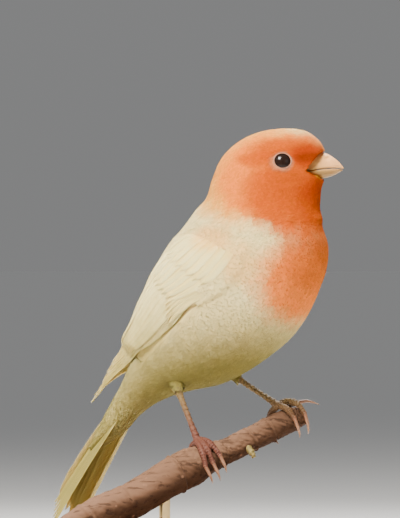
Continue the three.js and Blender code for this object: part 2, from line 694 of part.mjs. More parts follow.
function tailVane(start, end, half, layer, slope, lift) {
  const upper = [];
  const lower = [];
  vaneStops.forEach((share, i) => {
    const reach = half * vaneShape[i];
    const along = mix(start[0], end[0], share);
    const left = mix(start[1], end[1], share);
    const drop = mix(start[2], end[2], share) + lift * Math.sin(Math.PI * share);
    const row = [-1, 0, 1].map((edge) => {
      const sideways = left + edge * reach;
      return [along, sideways, drop - slope * edge * reach + (edge === 0 ? 0.12 : 0) + layer];
    });
    upper.push(row.map(([a, b, c]) => tailPlace(a, b, c)));
    lower.push(row.map(([a, b, c]) => tailPlace(a, b, c - vaneThickness)));
  });
  return sheetSolid(upper, lower);
}

function tailSolid(core) {
  const pieces = [core];
  for (let i = 0; i < tail.pairs; i += 1) {
    const share = (i + 0.5) / tail.pairs;
    for (const side of [-1, 1]) {
      const rootLeft = side * share * tail.rootSpread;
      const tipLeft = side * share * tail.tipSpread;
      const reach = mix(tail.innerLength, tail.outerLength, share * share);
      const slope = side * Math.tan(tail.roof);
      const start = [-2, rootLeft, 0];
      const end = [reach, tipLeft, tail.rise - Math.abs(tipLeft) * Math.tan(tail.roof)];
      const half = mix(0.42, 0.36, share) * tail.width;
      pieces.push(tailVane(start, end, half, -tail.layer * i, slope, 0.5));
    }
  }
  for (const covert of tailCoverts) {
    for (let i = 0; i < covert.count; i += 1) {
      const left = mix(-covert.spread, covert.spread, i / (covert.count - 1));
      const droop = Math.abs(left) * 0.35;
      const start = [-3, left * 0.6, covert.side * covert.out];
      const end = [covert.length - droop, left, covert.side * 0.9 - (covert.side > 0 ? droop : 0) + 0.3];
      pieces.push(tailVane(start, end, covert.width / 2, 0, 0, covert.side * 0.4));
    }
  }
  return joined(pieces);
}

const branchPath = branchPoints.map(({ at }) => new THREE.Vector3(...at));
const branchRadii = branchPoints.map(({ radius }) => radius);

function branchSolid(grow) {
  const random = seededRandom(branchSeed);
  const waves = [];
  for (let i = 0; i < 7; i += 1) {
    waves.push({ turns: 1 + Math.floor(random() * 4), along: 4 + random() * 22, phase: random() * 2 * Math.PI });
  }
  const bark = (share, angle) => grow + waves.reduce((sum, wave) => sum
    + (branchRelief / 3) * Math.sin(wave.turns * angle + wave.along * share + wave.phase), 0);
  return tubeSolid(branchPath, branchRadii, branchSides, branchRings, bark);
}

// The branch's middle, radius and cross directions at a share of its points
function branchFrame(share) {
  const path = new THREE.CatmullRomCurve3(branchPath);
  const middle = path.getPoint(share);
  const along = path.getTangent(share);
  const up = new THREE.Vector3(0, 0, 1);
  up.addScaledVector(along, -up.dot(along)).normalize();
  const near = new THREE.Vector3().crossVectors(along, up);
  if (near.y > 0) {
    near.negate();
  }
  const at = share * (branchRadii.length - 1);
  const from = Math.min(branchRadii.length - 2, Math.floor(at));
  return { middle, along, up, near, radius: mix(branchRadii[from], branchRadii[from + 1], at - from) };
}

function gripPlace(frame, stop) {
  const [along, turned, height] = stop;
  const angle = turned * degree;
  const reach = frame.radius + height;
  return frame.middle.clone()
    .addScaledVector(frame.along, along)
    .addScaledVector(frame.up, reach * Math.cos(angle))
    .addScaledVector(frame.near, reach * Math.sin(angle));
}

function budSolid() {
  const frame = branchFrame(budStub.at);
  const out = frame.near.clone().multiplyScalar(Math.sin(budStub.around))
    .addScaledVector(frame.up, Math.cos(budStub.around));
  const start = frame.middle.clone().addScaledVector(out, frame.radius - 1.4);
  const end = frame.middle.clone().addScaledVector(out, frame.radius + 0.9);
  end.addScaledVector(frame.up, -budStub.length);
  return tubeSolid([start, start.clone().lerp(end, 0.5).addScaledVector(out, 0.7), end],
    [budStub.radius, budStub.radius, budStub.tipRadius], 8, 4);
}

function footSolid(foot, grow) {
  const frame = branchFrame(foot.share);
  const pad = gripPlace(frame, [0, 0, foot.pad]);
  const ankle = new THREE.Vector3(...foot.ankle);
  const toes = foot.toes.map((toe) => {
    const places = toe.stops.map((stop) => gripPlace(frame, stop));
    const radii = [toeRadius.root, toeRadius.root * 0.92, toeRadius.root, toeRadius.end * 0.95, toeRadius.end];
    return tubeSolid(places, radii.map((radius) => radius + grow), toeSides, toeRings);
  });
  const leg = tubeSolid(
    [ankle, ankle.clone().lerp(pad, 0.2), ankle.clone().lerp(pad, 0.6), pad],
    [shank.heelRadius, shank.radius * 1.05, shank.radius, shank.footRadius].map((radius) => radius + grow),
    shank.sides, 8);
  return joined([leg, ...toes]);
}

// A claw from just past the toe's end to its own tip, arched away from the branch
function clawSolid(foot, toe) {
  const frame = branchFrame(foot.share);
  const end = gripPlace(frame, toe.stops.at(-1));
  const tip = gripPlace(frame, toe.claw);
  const outward = end.clone().add(tip).multiplyScalar(0.5).sub(frame.middle);
  outward.addScaledVector(frame.along, -outward.dot(frame.along)).normalize();
  const stop = (share) => end.clone().lerp(tip, share).addScaledVector(outward, clawArch * Math.sin(Math.PI * share));
  return tubeSolid([stop(0.1), stop(0.4), stop(0.72), stop(1)], [0.62, 0.52, 0.34, 0.12], clawSides, 5);
}

function thighSolid(foot) {
  const ankle = new THREE.Vector3(...foot.ankle);
  const knee = new THREE.Vector3(...foot.knee);
  const end = ankle.clone().addScaledVector(ankle.clone().sub(knee).normalize(), 1.4);
  const [top, bottom] = foot.knob;
  return tubeSolid([knee, knee.clone().lerp(end, 0.55), knee.clone().lerp(end, 0.85), end],
    [top, (top + bottom) / 2, bottom * 1.05, bottom * 0.55], thighSides, thighRings);
}

function standBaseSolid() {
  const { radius, thickness, edge, foot } = standBase;
  const outline = new THREE.Path();
  outline.moveTo(0, 0);
  outline.lineTo(radius - foot, 0);
  outline.lineTo(radius, foot);
  outline.lineTo(radius, thickness - edge);
  outline.absarc(radius - edge, thickness - edge, edge, 0, Math.PI / 2, false);
  outline.lineTo(0, thickness);
  const disc = new THREE.LatheGeometry(outline.getPoints(3), standBase.sides);
  disc.rotateX(Math.PI / 2);
  return solidOfGeometry(disc);
}

function standRodSolid() {
  const bottom = standBase.thickness + meshGap;
  const { radius, height, sides } = standRod;
  const rod = new THREE.CylinderGeometry(radius, radius, height, sides);
  rod.rotateX(Math.PI / 2);
  rod.translate(standRod.x, standRod.y, bottom + height / 2);
  return solidOfGeometry(rod);
}

const model = new THREE.Group();

function addNode(name, solid, finish) {
  const { vertProperties, triVerts } = largestBody(solid).getMesh();
  const geometry = new THREE.BufferGeometry();
  geometry.setAttribute("position", new THREE.BufferAttribute(new Float32Array(vertProperties), 3));
  geometry.setIndex(new THREE.BufferAttribute(new Uint32Array(triVerts), 1));
  geometry.computeVertexNormals();
  const mesh = new THREE.Mesh(geometry, new THREE.MeshStandardMaterial(finishes[finish]));
  mesh.name = name;
  model.add(mesh);
}

const wholeBody = bodySolid(0, lastStation, 0);
const grownBody = bodySolid(0, lastStation, meshGap);

let head = cutAt(wholeBody, headEndsAt, false);
head = head.subtract(notchCutter());
for (const isUpper of [true, false]) {
  head = head.subtract(mandible(isUpper, 1.3 * meshGap));
}
for (const side of [-1, 1]) {
  head = head.add(lidSolid(side)).subtract(eyeSolid(side, meshGap));
}
addNode("head", head, "mask");
addNode("neck", cutAt(cutAt(wholeBody, headEndsAt, true), neckEndsAt, false), "mask");
addNode("torso", cutAt(cutAt(wholeBody, neckEndsAt, true), torsoEndsAt, false), "feathers");

let upperBill = mandible(true, 0);
for (const side of [-1, 1]) {
  upperBill = upperBill.subtract(nostrilCutter(side));
}
addNode("upper_bill", upperBill, "bill");
addNode("lower_bill", mandible(false, 0), "bill");
for (const [name, side] of [["eye_right", -1], ["eye_left", 1]]) {
  addNode(name, eyeSolid(side, 0), "eye");
}

const midline = placed(new THREE.Vector3(neckPivot, 0, 0), 1);
const leftward = placed(new THREE.Vector3(neckPivot, 1, 0), 1).sub(midline);
for (const [name, side] of [["wing_right", -1], ["wing_left", 1]]) {
  const apart = leftward.clone().multiplyScalar(side);
  const wing = wingSolid(side).subtract(grownBody)
    .trimByPlane(apart.toArray(), midline.dot(apart) + meshGap);
  addNode(name, wing, "feathers");
}
addNode("tail", tailSolid(cutAt(wholeBody, torsoEndsAt, true)).subtract(
  cutAt(grownBody, torsoEndsAt, false)), "feathers");

const branch = joined([branchSolid(0), budSolid()]);
const grownBranch = branchSolid(meshGap);
for (const foot of feet) {
  const leg = footSolid(foot, 0).subtract(grownBranch);
  addNode(`thigh_${foot.side}`, thighSolid(foot).subtract(grownBody).subtract(footSolid(foot, meshGap)), "feathers");
  addNode(`leg_${foot.side}`, leg, "skin");
  for (const toe of foot.toes) {
    const claw = clawSolid(foot, toe).subtract(grownBranch).subtract(footSolid(foot, meshGap));
    addNode(`claw_${foot.side}_${toe.name}`, claw, "claw");
  }
}
addNode("perch", branch, "bark");
addNode("stand_base", standBaseSolid(), "wood");
addNode("stand_rod", standRodSolid().subtract(grownBranch), "brass");

export default model;
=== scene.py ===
import math

import bpy
import numpy as np
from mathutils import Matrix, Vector


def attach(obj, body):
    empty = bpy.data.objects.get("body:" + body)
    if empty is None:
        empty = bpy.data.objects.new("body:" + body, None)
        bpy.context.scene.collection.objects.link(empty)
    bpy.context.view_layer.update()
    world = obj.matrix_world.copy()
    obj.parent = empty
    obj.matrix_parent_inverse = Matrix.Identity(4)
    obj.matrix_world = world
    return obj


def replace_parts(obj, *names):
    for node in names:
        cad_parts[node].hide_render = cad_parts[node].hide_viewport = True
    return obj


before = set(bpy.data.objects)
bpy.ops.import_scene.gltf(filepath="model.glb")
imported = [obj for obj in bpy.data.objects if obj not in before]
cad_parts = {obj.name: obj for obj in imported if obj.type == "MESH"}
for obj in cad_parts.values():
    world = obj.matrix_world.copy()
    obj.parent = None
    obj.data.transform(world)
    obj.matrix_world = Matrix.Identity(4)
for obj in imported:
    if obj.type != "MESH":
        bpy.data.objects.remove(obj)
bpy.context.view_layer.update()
bpy.ops.object.select_all(action="DESELECT")
print("frame loaded:", len(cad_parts), "nodes")

# Sizes are in millimetres, as on the drawing of the bird, and meshes are made in metres
mm = 0.001
degree = math.pi / 180
chance = np.random.default_rng(11)


# Helpers for materials. A socket's name is given with _ in place of each space
def setSockets(node, values):
    for key, value in values.items():
        node.inputs[key.replace("_", " ")].default_value = value


def newMaterial(name, **values):
    material = bpy.data.materials.new(name)
    material.use_nodes = True
    shader = material.node_tree.nodes["Principled BSDF"]
    setSockets(shader, values)
    return material, material.node_tree, shader


def addNode(tree, kind, settings=None, vector=None, **values):
    node = tree.nodes.new("ShaderNode" + kind)
    for key, value in (settings or {}).items():
        setattr(node, key, value)
    setSockets(node, values)
    if vector is not None:
        tree.links.new(vector, node.inputs["Vector"])
    return node


# Each socket takes a number, a colour or a link
def fillSockets(tree, sockets, given):
    for socket, value in zip(sockets, given):
        if isinstance(value, (int, float)):
            socket.default_value = value
        elif isinstance(value, tuple):
            socket.default_value = (*value, 1)
        else:
            tree.links.new(value, socket)


def maths(tree, operation, *given):
    node = addNode(tree, "Math", {"operation": operation})
    fillSockets(tree, node.inputs, given)
    return node.outputs[0]


def blended(tree, factor, first, second, mode="MIX"):
    node = addNode(tree, "Mix", {"data_type": "RGBA", "blend_type": mode})
    fillSockets(tree, (node.inputs[0], node.inputs[6], node.inputs[7]), (factor, first, second))
    return node.outputs[2]


def ranged(tree, value, start, end, low=0.0, high=1.0, eased=True):
    node = addNode(tree, "MapRange", {"interpolation_type": "SMOOTHSTEP" if eased else "LINEAR"},
                   From_Min=start, From_Max=end, To_Min=low, To_Max=high)
    tree.links.new(value, node.inputs["Value"])
    return node.outputs[0]


def splitAxes(tree, vector):
    return addNode(tree, "SeparateXYZ", vector=vector).outputs


def objectPlace(tree):
    return addNode(tree, "TexCoord").outputs["Object"]


def noiseOn(tree, vector, scale, detail, **values):
    return addNode(tree, "TexNoise", vector=vector, Scale=scale, Detail=detail, **values).outputs["Fac"]


def addBump(tree, shader, height, strength, depth):
    bump = addNode(tree, "Bump", Strength=strength, Distance=depth)
    tree.links.new(height, bump.inputs["Height"])
    tree.links.new(bump.outputs[0], shader.inputs["Normal"])


# Skin or scales in two tones with a fine grain
def grainedMaterial(name, scale, detail, tones, strength, depth, **values):
    material, tree, shader = newMaterial(name, **values)
    grain = noiseOn(tree, objectPlace(tree), scale, detail)
    tree.links.new(blended(tree, grain, *tones), shader.inputs["Base Color"])
    addBump(tree, shader, grain, strength, depth)
    return material


def dress(thing, material):
    thing.data.materials.append(material)
    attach(thing, "root")


# Names a new primitive and puts its place into its mesh
def settled(name):
    thing = bpy.context.object
    thing.name = name
    bpy.ops.object.transform_apply(location=True, rotation=True, scale=True)
    return thing


cameraSettings = {
    "place": (0.58 * mm, -1.5, 99.34 * mm),
    "lens": 359.5,
    "sensor": 36.0,
    "clip": (0.01, 100),
}


def addCamera():
    s = cameraSettings
    bpy.ops.object.camera_add(location=s["place"], rotation=(90 * degree, 0, 0))
    camera = bpy.context.object
    camera.name = "photoCamera"
    camera.data.sensor_fit = "AUTO"
    camera.data.sensor_width = s["sensor"]
    camera.data.lens = s["lens"]
    camera.data.clip_start, camera.data.clip_end = s["clip"]
    bpy.context.scene.camera = camera
    camera.select_set(False)


addCamera()

studio = {
    "floorRadius": 40.0,
    "aimHeight": 0.09,
    "floorColour": (0.80, 0.79, 0.77),
    "worldColour": (0.95, 0.97, 1.0),
    "worldStrength": 0.30,
    "horizonColour": (0.74, 0.745, 0.75),
    "horizonFade": 0.5,
    "lights": {
        "keyLight": {"place": (-0.30, -0.50, 0.75), "size": 0.32, "power": 5.4, "colour": (1.0, 0.97, 0.92),
                     "spread": 70},
        "fillLight": {"place": (0.85, -0.8, 0.45), "size": 0.6, "power": 0.35, "colour": (0.95, 0.97, 1.0),
                      "spread": 90},
        "rimLight": {"place": (0.1, 0.45, 0.75), "size": 0.4, "power": 3.6, "colour": (1.0, 0.98, 0.94),
                     "spread": 80},
    },
}


def addStudio():
    s = studio
    bpy.ops.mesh.primitive_circle_add(vertices=96, radius=s["floorRadius"], fill_type="NGON")
    floor = bpy.context.object
    floor.name = "studioFloor"
    paper = newMaterial("studioPaper", Base_Color=(*s["floorColour"], 1), Roughness=0.9,
                        Specular_IOR_Level=0.1)[0]
    floor.data.materials.append(paper)
    for name, light in s["lights"].items():
        place = Vector(light["place"])
        aim = Vector((0, 0, s["aimHeight"])) - place
        turn = aim.to_track_quat("-Z", "Y").to_euler()
        bpy.ops.object.light_add(type="AREA", location=place, rotation=turn)
        lamp = bpy.context.object
        lamp.name = name
        lamp.data.size = light["size"]
        lamp.data.energy = light["power"]
        lamp.data.color = light["colour"]
        lamp.data.spread = light["spread"] * degree
    world = bpy.data.worlds.new("studioAir")
    world.use_nodes = True
    tree = world.node_tree
    sky = tree.nodes["Background"]
    sky.inputs["Strength"].default_value = s["worldStrength"]
    height = splitAxes(tree, addNode(tree, "TexCoord").outputs["Generated"])[2]
    share = ranged(tree, height, 0.0, s["horizonFade"])
    tree.links.new(blended(tree, share, s["horizonColour"], s["worldColour"]), sky.inputs["Color"])
    bpy.context.scene.world = world
    bpy.ops.object.select_all(action="DESELECT")


addStudio()
print("camera, floor and lights placed")

# The bird's own frame runs forward, to its left and up, and is turned into the model's frame
pose = {
    "bodyHeading": 28 * degree,
    "headHeading": 4 * degree,
    "origin": 7.83,
    "neckPivot": 13.1,
    "turnsFrom": 6,
    "turnsTo": 10,
}

# Sections of the body: forward and up on the back, the same below, and half the width
bodyStations = [
    (30.7, 130.2, 30.4, 122.6, 3.7),  # bill root
    (28.7, 133.5, 29.9, 121.3, 4.9),  # lores
    (25.0, 136.2, 29.4, 119.8, 6.0),  # forehead
    (19.8, 137.0, 29.2, 118.2, 7.1),  # brow
    (12.3, 136.2, 29.1, 116.7, 8.1),  # crown
    (5.9, 133.5, 29.0, 115.3, 9.1),  # hind crown
    (0.6, 128.6, 29.0, 113.8, 10.2),  # nape
    (-2.3, 122.2, 29.4, 112.1, 11.6),  # lower nape
    (-4.2, 117.0, 29.9, 110.9, 12.8),  # throat
    (-7.9, 113.5, 30.2, 108.6, 14.2),  # mantle
    (-11.9, 108.9, 31.9, 103.2, 16.4),  # shoulders
    (-15.9, 104.3, 31.4, 96.7, 17.9),  # breast
    (-19.1, 99.0, 28.9, 90.3, 18.8),  # wing bend
    (-22.0, 93.5, 25.2, 83.1, 19.0),  # belly
    (-23.9, 88.0, 19.9, 76.4, 18.3),  # lower back
    (-25.7, 83.1, 12.9, 70.9, 16.6),  # flanks
    (-27.2, 78.2, 5.5, 66.3, 14.4),  # thighs
    (-28.7, 73.5, -2.5, 62.8, 12.0),  # rump
    (-30.2, 69.5, -11.2, 61.1, 9.6),  # vent
    (-31.9, 65.7, -18.9, 59.0, 7.8),  # under the tail
    (-33.8, 62.2, -24.6, 56.4, 6.2),  # covert roots
    (-36.1, 58.8, -28.8, 53.4, 5.1),  # tail root
    (-38.7, 54.6, -33.2, 49.0, 4.7),  # coverts
    (-41.4, 49.6, -37.6, 46.0, 4.2),  # covert tips
    (-44.2, 44.4, -42.4, 43.0, 3.4),  # tail stem
]
lastStation = len(bodyStations) - 1

# Swellings and hollows of the head's sides: forward, up, reach and rise
headRelief = {
    "cheek": (15.5, 121.5, 5.0, 0.7),
    "browRidge": (19.5, 132.0, 3.0, 0.45),
    "eyeHollow": (18.4, 127.8, 2.8, -0.5),
    "loreHollow": (25.2, 127.6, 2.4, -0.45),
}


def smoothStep(start, end, value):
    share = np.clip((np.asarray(value, float) - start) / (end - start), 0, 1)
    return share * share * (3 - 2 * share)


def lengthOf(vectors):
    return np.sqrt(np.sum(vectors * vectors, axis=-1, keepdims=True))


def unit(vectors):
    return vectors / np.maximum(lengthOf(vectors), 1e-9)


# A smooth line through points, asked for with shares from 0 to 1
def curveThrough(points):
    given = np.array(points, float)
    ends = np.vstack([2 * given[0] - given[1], given, 2 * given[-1] - given[-2]])
    gaps = np.maximum(np.sum(np.diff(ends, axis=0) ** 2, axis=1) ** 0.25, 1e-4)
    last = len(given) - 1

    def at(share):
        place = np.clip(np.asarray(share, float), 0, 1) * last
        i = np.minimum(place.astype(int), last - 1)
        w = (place - i)[..., None]
        p0, p1, p2, p3 = (ends[i + k] for k in range(4))
        d0, d1, d2 = (gaps[i + k][..., None] for k in range(3))
        t1 = ((p1 - p0) / d0 - (p2 - p0) / (d0 + d1) + (p2 - p1) / d1) * d1
        t2 = ((p2 - p1) / d1 - (p3 - p1) / (d1 + d2) + (p3 - p2) / d2) * d1
        c2 = 3 * (p2 - p1) - 2 * t1 - t2
        c3 = 2 * (p1 - p2) + t1 + t2
        return p1 + t1 * w + c2 * w ** 2 + c3 * w ** 3

    return at


backLine = curveThrough([(row[0], row[1]) for row in bodyStations])
bellyLine = curveThrough([(row[2], row[3]) for row in bodyStations])
halfLine = curveThrough([(i, row[4]) for i, row in enumerate(bodyStations)])


def turnAt(u):
    return smoothStep(pose["turnsFrom"], pose["turnsTo"], u)


# From the bird's frame to the model's: turn is 0 for the head and 1 for the body
def placed(points, turn):
    heading = pose["headHeading"] + (pose["bodyHeading"] - pose["headHeading"]) * np.asarray(turn, float)
    pivot = pose["neckPivot"]
    forward = points[..., 0] - pivot
    left = points[..., 1]
    x = pose["origin"] + pivot * math.cos(pose["bodyHeading"])
    y = -pivot * math.sin(pose["bodyHeading"])
    return np.stack([
        x + forward * np.cos(heading) + left * np.sin(heading),
        y - forward * np.sin(heading) + left * np.cos(heading),
        points[..., 2],
    ], -1)


# Angle 0 is on the back, half a turn is below, and plus is to the bird's left
def plainPoint(u, angle):
    share = np.asarray(u, float) / lastStation
    back = backLine(share)
    belly = bellyLine(share)
    half = halfLine(share)[..., 1]
    middle = (back + belly) / 2 + (back - belly) / 2 * np.cos(angle)[..., None]
    return np.stack([middle[..., 0], half * np.sin(angle), middle[..., 1]], -1)


# Steps along and round the body at a place, for its slope
slopeStep = {"along": 0.05, "around": 0.02}


def slopeSteps(placeOf, u, angle):
    along, around = slopeStep["along"], slopeStep["around"]
    return (placeOf(u + along, angle) - placeOf(u - along, angle),
            placeOf(u, angle + around) - placeOf(u, angle - around))


def plainNormal(u, angle):
    along, around = slopeSteps(plainPoint, u, angle)
    return unit(np.cross(around, along))


# The folded wing: station, lower and upper edge in degrees from the back, how far each stands off the
# body, and how far the face bulges between them
wingOnBody = [
    (9.8, 102, 56, 0.1, -0.3, 0),  # wrist
    (10.7, 105, 37, 0.6, 0.2, 0),  # shoulder
    (11.7, 106, 25, 0.9, 0.5, 0.2),  # lesser coverts
    (12.6, 101, 18, 0.9, 0.8, 0.3),  # median coverts
    (13.5, 88, 13, 0.9, 1.2, 0.3),  # greater coverts
    (14.5, 83, 11, 0.9, 2.3, 0.3),  # secondaries
    (15.6, 77, 11, 0.9, 3.3, 0.5),  # tertial tips
    (16.6, 68, 12, 1.0, 4.7, 0.8),  # over the rump
]
# Past the body the lower and upper edges are places in the bird's frame, with the bulge between them
wingFree = [
    ((-26.0, 9.0, 69.0), (-33.6, 2.6, 73.9), 0.9),  # past the rump
    ((-30.6, 7.8, 65.9), (-36.1, 3.0, 70.4), 0.8),  # primaries
    ((-35.2, 6.8, 62.9), (-38.6, 3.4, 66.4), 0.5),  # primary tips
    ((-38.7, 6.1, 60.3), (-40.3, 4.0, 62.3), 0.2),  # behind the tip
    ((-42.3, 5.4, 57.6), (-42.7, 4.4, 58.5), 0.0),  # tip
]
# How far the left wing's tip is moved, to lie over the right one's
wingCross = {"from": -24, "to": -43, "move": (-1.6, -3.6, 2.0)}
wingBed = {"start": 9.6, "end": 16.0, "depth": 2.2, "fade": 1.0, "edge": 9}
wingTable = np.array(wingOnBody, float)


def wingEdges(u):
    stations = wingTable[:, 0]
    return [np.interp(u, stations, wingTable[:, column]) for column in (1, 2, 3, 4)]


# How far the plain body is swelled or let in
def reliefAt(point, u, angle):
    sideways = np.sin(angle) ** 2
    rise = np.zeros_like(sideways)
    for forward, up, reach, height in headRelief.values():
        apart = np.hypot(point[..., 0] - forward, point[..., 2] - up) / reach
        rise += height * sideways * np.exp(-apart * apart)
    low, high = wingEdges(u)[:2]
    turned = np.abs(angle) / degree
    bed = wingBed
    inside = smoothStep(-bed["edge"], 0, turned - high) * (1 - smoothStep(-bed["edge"], 0, turned - low))
    inside = inside * smoothStep(bed["start"], bed["start"] + bed["fade"], u)
    inside = inside * (1 - smoothStep(bed["end"] - 2 * bed["fade"], bed["end"], u))
    return rise - bed["depth"] * inside


def wrapped(angle):
    return (np.asarray(angle) + math.pi) % (2 * math.pi) - math.pi


# A place on the body, with a height over its outline, in the model's frame
def bodyPlace(u, angle, out=0.0):
    u = np.asarray(u, float)
    angle = wrapped(angle)
    point = plainPoint(u, angle)
    height = np.asarray(reliefAt(point, u, angle) + out)
    return placed(point + plainNormal(u, angle) * height[..., None], turnAt(u))


def makeMesh(name, points, quads):
    mesh = bpy.data.meshes.new(name)
    mesh.vertices.add(len(points))
    mesh.vertices.foreach_set("co", (np.asarray(points) * mm).astype(np.float32).ravel())
    corners = np.asarray(quads, np.int32)
    mesh.loops.add(corners.size)
    mesh.loops.foreach_set("vertex_index", corners.ravel())
    mesh.polygons.add(len(corners))
    mesh.polygons.foreach_set("loop_start", np.arange(0, corners.size, corners.shape[1], dtype=np.int32))
    mesh.polygons.foreach_set("use_smooth", np.full(len(corners), True))
    mesh.update(calc_edges=True)
    mesh.validate()
    thing = bpy.data.objects.new(name, mesh)
    bpy.context.scene.collection.objects.link(thing)
    return thing


# A UV map from one pair for each vertex
def addMap(thing, name, pairs):
    mesh = thing.data
    corners = np.empty(len(mesh.loops), np.int32)
    mesh.loops.foreach_get("vertex_index", corners)
    layer = mesh.uv_layers.new(name=name)
    layer.uv.foreach_set("vector", np.asarray(pairs, np.float32)[corners].ravel())


def addFact(thing, name, kind, values):
    fact = thing.data.attributes.new(name, kind, "POINT")
    field = "vector" if kind == "FLOAT_VECTOR" else "value"
    fact.data.foreach_set(field, np.asarray(values, np.float32).ravel())


# What the feather materials read, on a piece that is one plain surface
def addPlainFacts(thing):
    count = len(thing.data.vertices)
    places = np.empty(count * 3, np.float32)
    thing.data.vertices.foreach_get("co", places)
    addFact(thing, "place", "FLOAT_VECTOR", places)
    addFact(thing, "tone", "FLOAT", np.full(count, 0.5))
    addMap(thing, "vane", np.full((count, 2), (0.2, 0.6)))


# Creases where both ends of an edge carry the same number, other than nought
def creaseRims(thing, rims):
    ends = np.empty(len(thing.data.edges) * 2, np.int32)
    thing.data.edges.foreach_get("vertices", ends)
    pair = np.asarray(rims)[ends.reshape(-1, 2)]
    facts = thing.data.attributes
    fact = facts.get("sharp_edge") or facts.new("sharp_edge", "BOOLEAN", "EDGE")
    fact.data.foreach_set("value", (pair[:, 0] == pair[:, 1]) & (pair[:, 0] > 0))


# Quads of a grid of points, row by row, closed round the columns if asked
def gridQuads(rows, columns, closed=False):
    r = np.arange(rows - 1)[:, None]
    c = np.arange(columns if closed else columns - 1)[None, :]
    here = r * columns + c
    beside = r * columns + (c + 1) % columns
    return np.stack([here, beside, beside + columns, here + columns], -1).reshape(-1, 4)


# A closed tube of rings, its ends drawn in to a point
def ringsToMesh(name, rings):
    count, around = rings.shape[:2]
    ends = [np.repeat(rings[i].mean(axis=0, keepdims=True), around, axis=0) for i in (0, -1)]
    points = np.vstack([ends[0], rings.reshape(-1, 3), ends[1]])
    thing = makeMesh(name, points, gridQuads(count + 2, around, closed=True))
    tidyMesh(thing)
    return thing


# Points all faces outwards, after doubled points are merged
def tidyMesh(thing, merge=True):
    bpy.ops.object.select_all(action="DESELECT")
    thing.select_set(True)
    bpy.context.view_layer.objects.active = thing
    bpy.ops.object.mode_set(mode="EDIT")
    bpy.ops.mesh.select_all(action="SELECT")
    if merge:
        bpy.ops.mesh.remove_doubles(threshold=1e-7)
    bpy.ops.mesh.normals_make_consistent(inside=False)
    bpy.ops.object.mode_set(mode="OBJECT")
    thing.select_set(False)


# Colours of the plumage, and its markings in the head's or the body's frame: middle, reach, softness of the
# edge as a share of the reach, and strength. Some markings are partly painted shade: the straw under the
# belly and the tail, and the dark lores
plumage = {
    "cream": (0.86, 0.62, 0.20),
    "ivory": (0.93, 0.74, 0.32),
    "shadedStraw": (0.195, 0.152, 0.029),
    "orange": (0.62, 0.080, 0.0),
    # The deep orange is the throat's own colour and also painted shade on the lores; the darkest colour below
    # is painted shade for the lores only
    "deepOrangeAndShade": (0.48, 0.038, 0.0),
    "loreShade": (0.15, 0.018, 0.002),
    "apricot": (0.98, 0.175, 0.006),
    "peach": (1.0, 0.36, 0.035),
    "ringSkin": (0.60, 0.25, 0.11),
    # An ochre tint of the inner web, also used as painted shade where the web lies under the next feather
    "webTintAndShade": (0.80, 0.66, 0.42),
    "edgeNoise": 0.35,
}
markings = [
    # The straw under the belly and the tail is partly a straw tint and partly painted shade, darker where the
    # body faces down
    ("body", "shadedStraw", (0, 0, 62), (37, 24, 24), 1.1, 0.95),  # under the belly
    ("body", "shadedStraw", (-49, 0, 30), (31, 18, 38), 0.9, 0.9),  # under the tail
    ("head", "peach", (9, 0, 125), (18, 30, 15.5), 0.45, 0.9),  # crown and nape
    ("head", "apricot", (15, 0, 123), (15.5, 30, 12.5), 0.5, 0.85),  # side of the neck
    ("head", "orange", (21.0, 0, 118.5), (13.5, 26, 12.5), 0.5, 0.95),  # cheeks and mask
    ("head", "apricot", (25.5, 0, 130.5), (7, 14, 5.2), 0.8, 0.75),  # forehead
    ("head", "orange", (20, 8, 131), (10, 9, 3.4), 0.8, 0.85),  # over the eye
    ("head", "orange", (11, 9, 128.6), (5.0, 9, 1.9), 0.9, 0.8),  # streak behind the eye
    # Painted shade in the lore hollow: the lores are darkened with deep orange and a dark line from the bill
    # to the eye
    ("head", "deepOrangeAndShade", (26.5, 6, 128.8), (5.5, 8, 3.2), 0.8, 0.85),  # lores
    ("head", "loreShade", (26.5, 5, 128.6), (4.0, 6, 1.3), 1.0, 0.55),  # line from the bill to the eye
    ("head", "deepOrangeAndShade", (27.0, 0, 114.0), (5.0, 12, 10.0), 0.8, 0.8),  # throat
    ("head", "ringSkin", (18.7, 10, 127.4), (3.5, 9, 2.8), 0.5, 0.7),  # bare skin round the eye
    ("body", "apricot", (27.5, 3, 95.0), (12, 17, 12), 0.8, 0.92),  # breast patch
    ("body", "orange", (30.5, 3, 100.0), (9, 13, 8), 0.9, 0.5),  # its middle
    ("body", "orange", (30, 0, 110), (9, 16, 8), 0.8, 0.7),  # down the throat to the breast
    ("body", "peach", (4, 16, 106), (7, 10, 4.5), 0.9, 0.5),  # on the shoulder
    ("body", "peach", (14.5, 17.5, 100), (4.5, 8, 6), 0.9, 0.35),  # before the wing
]


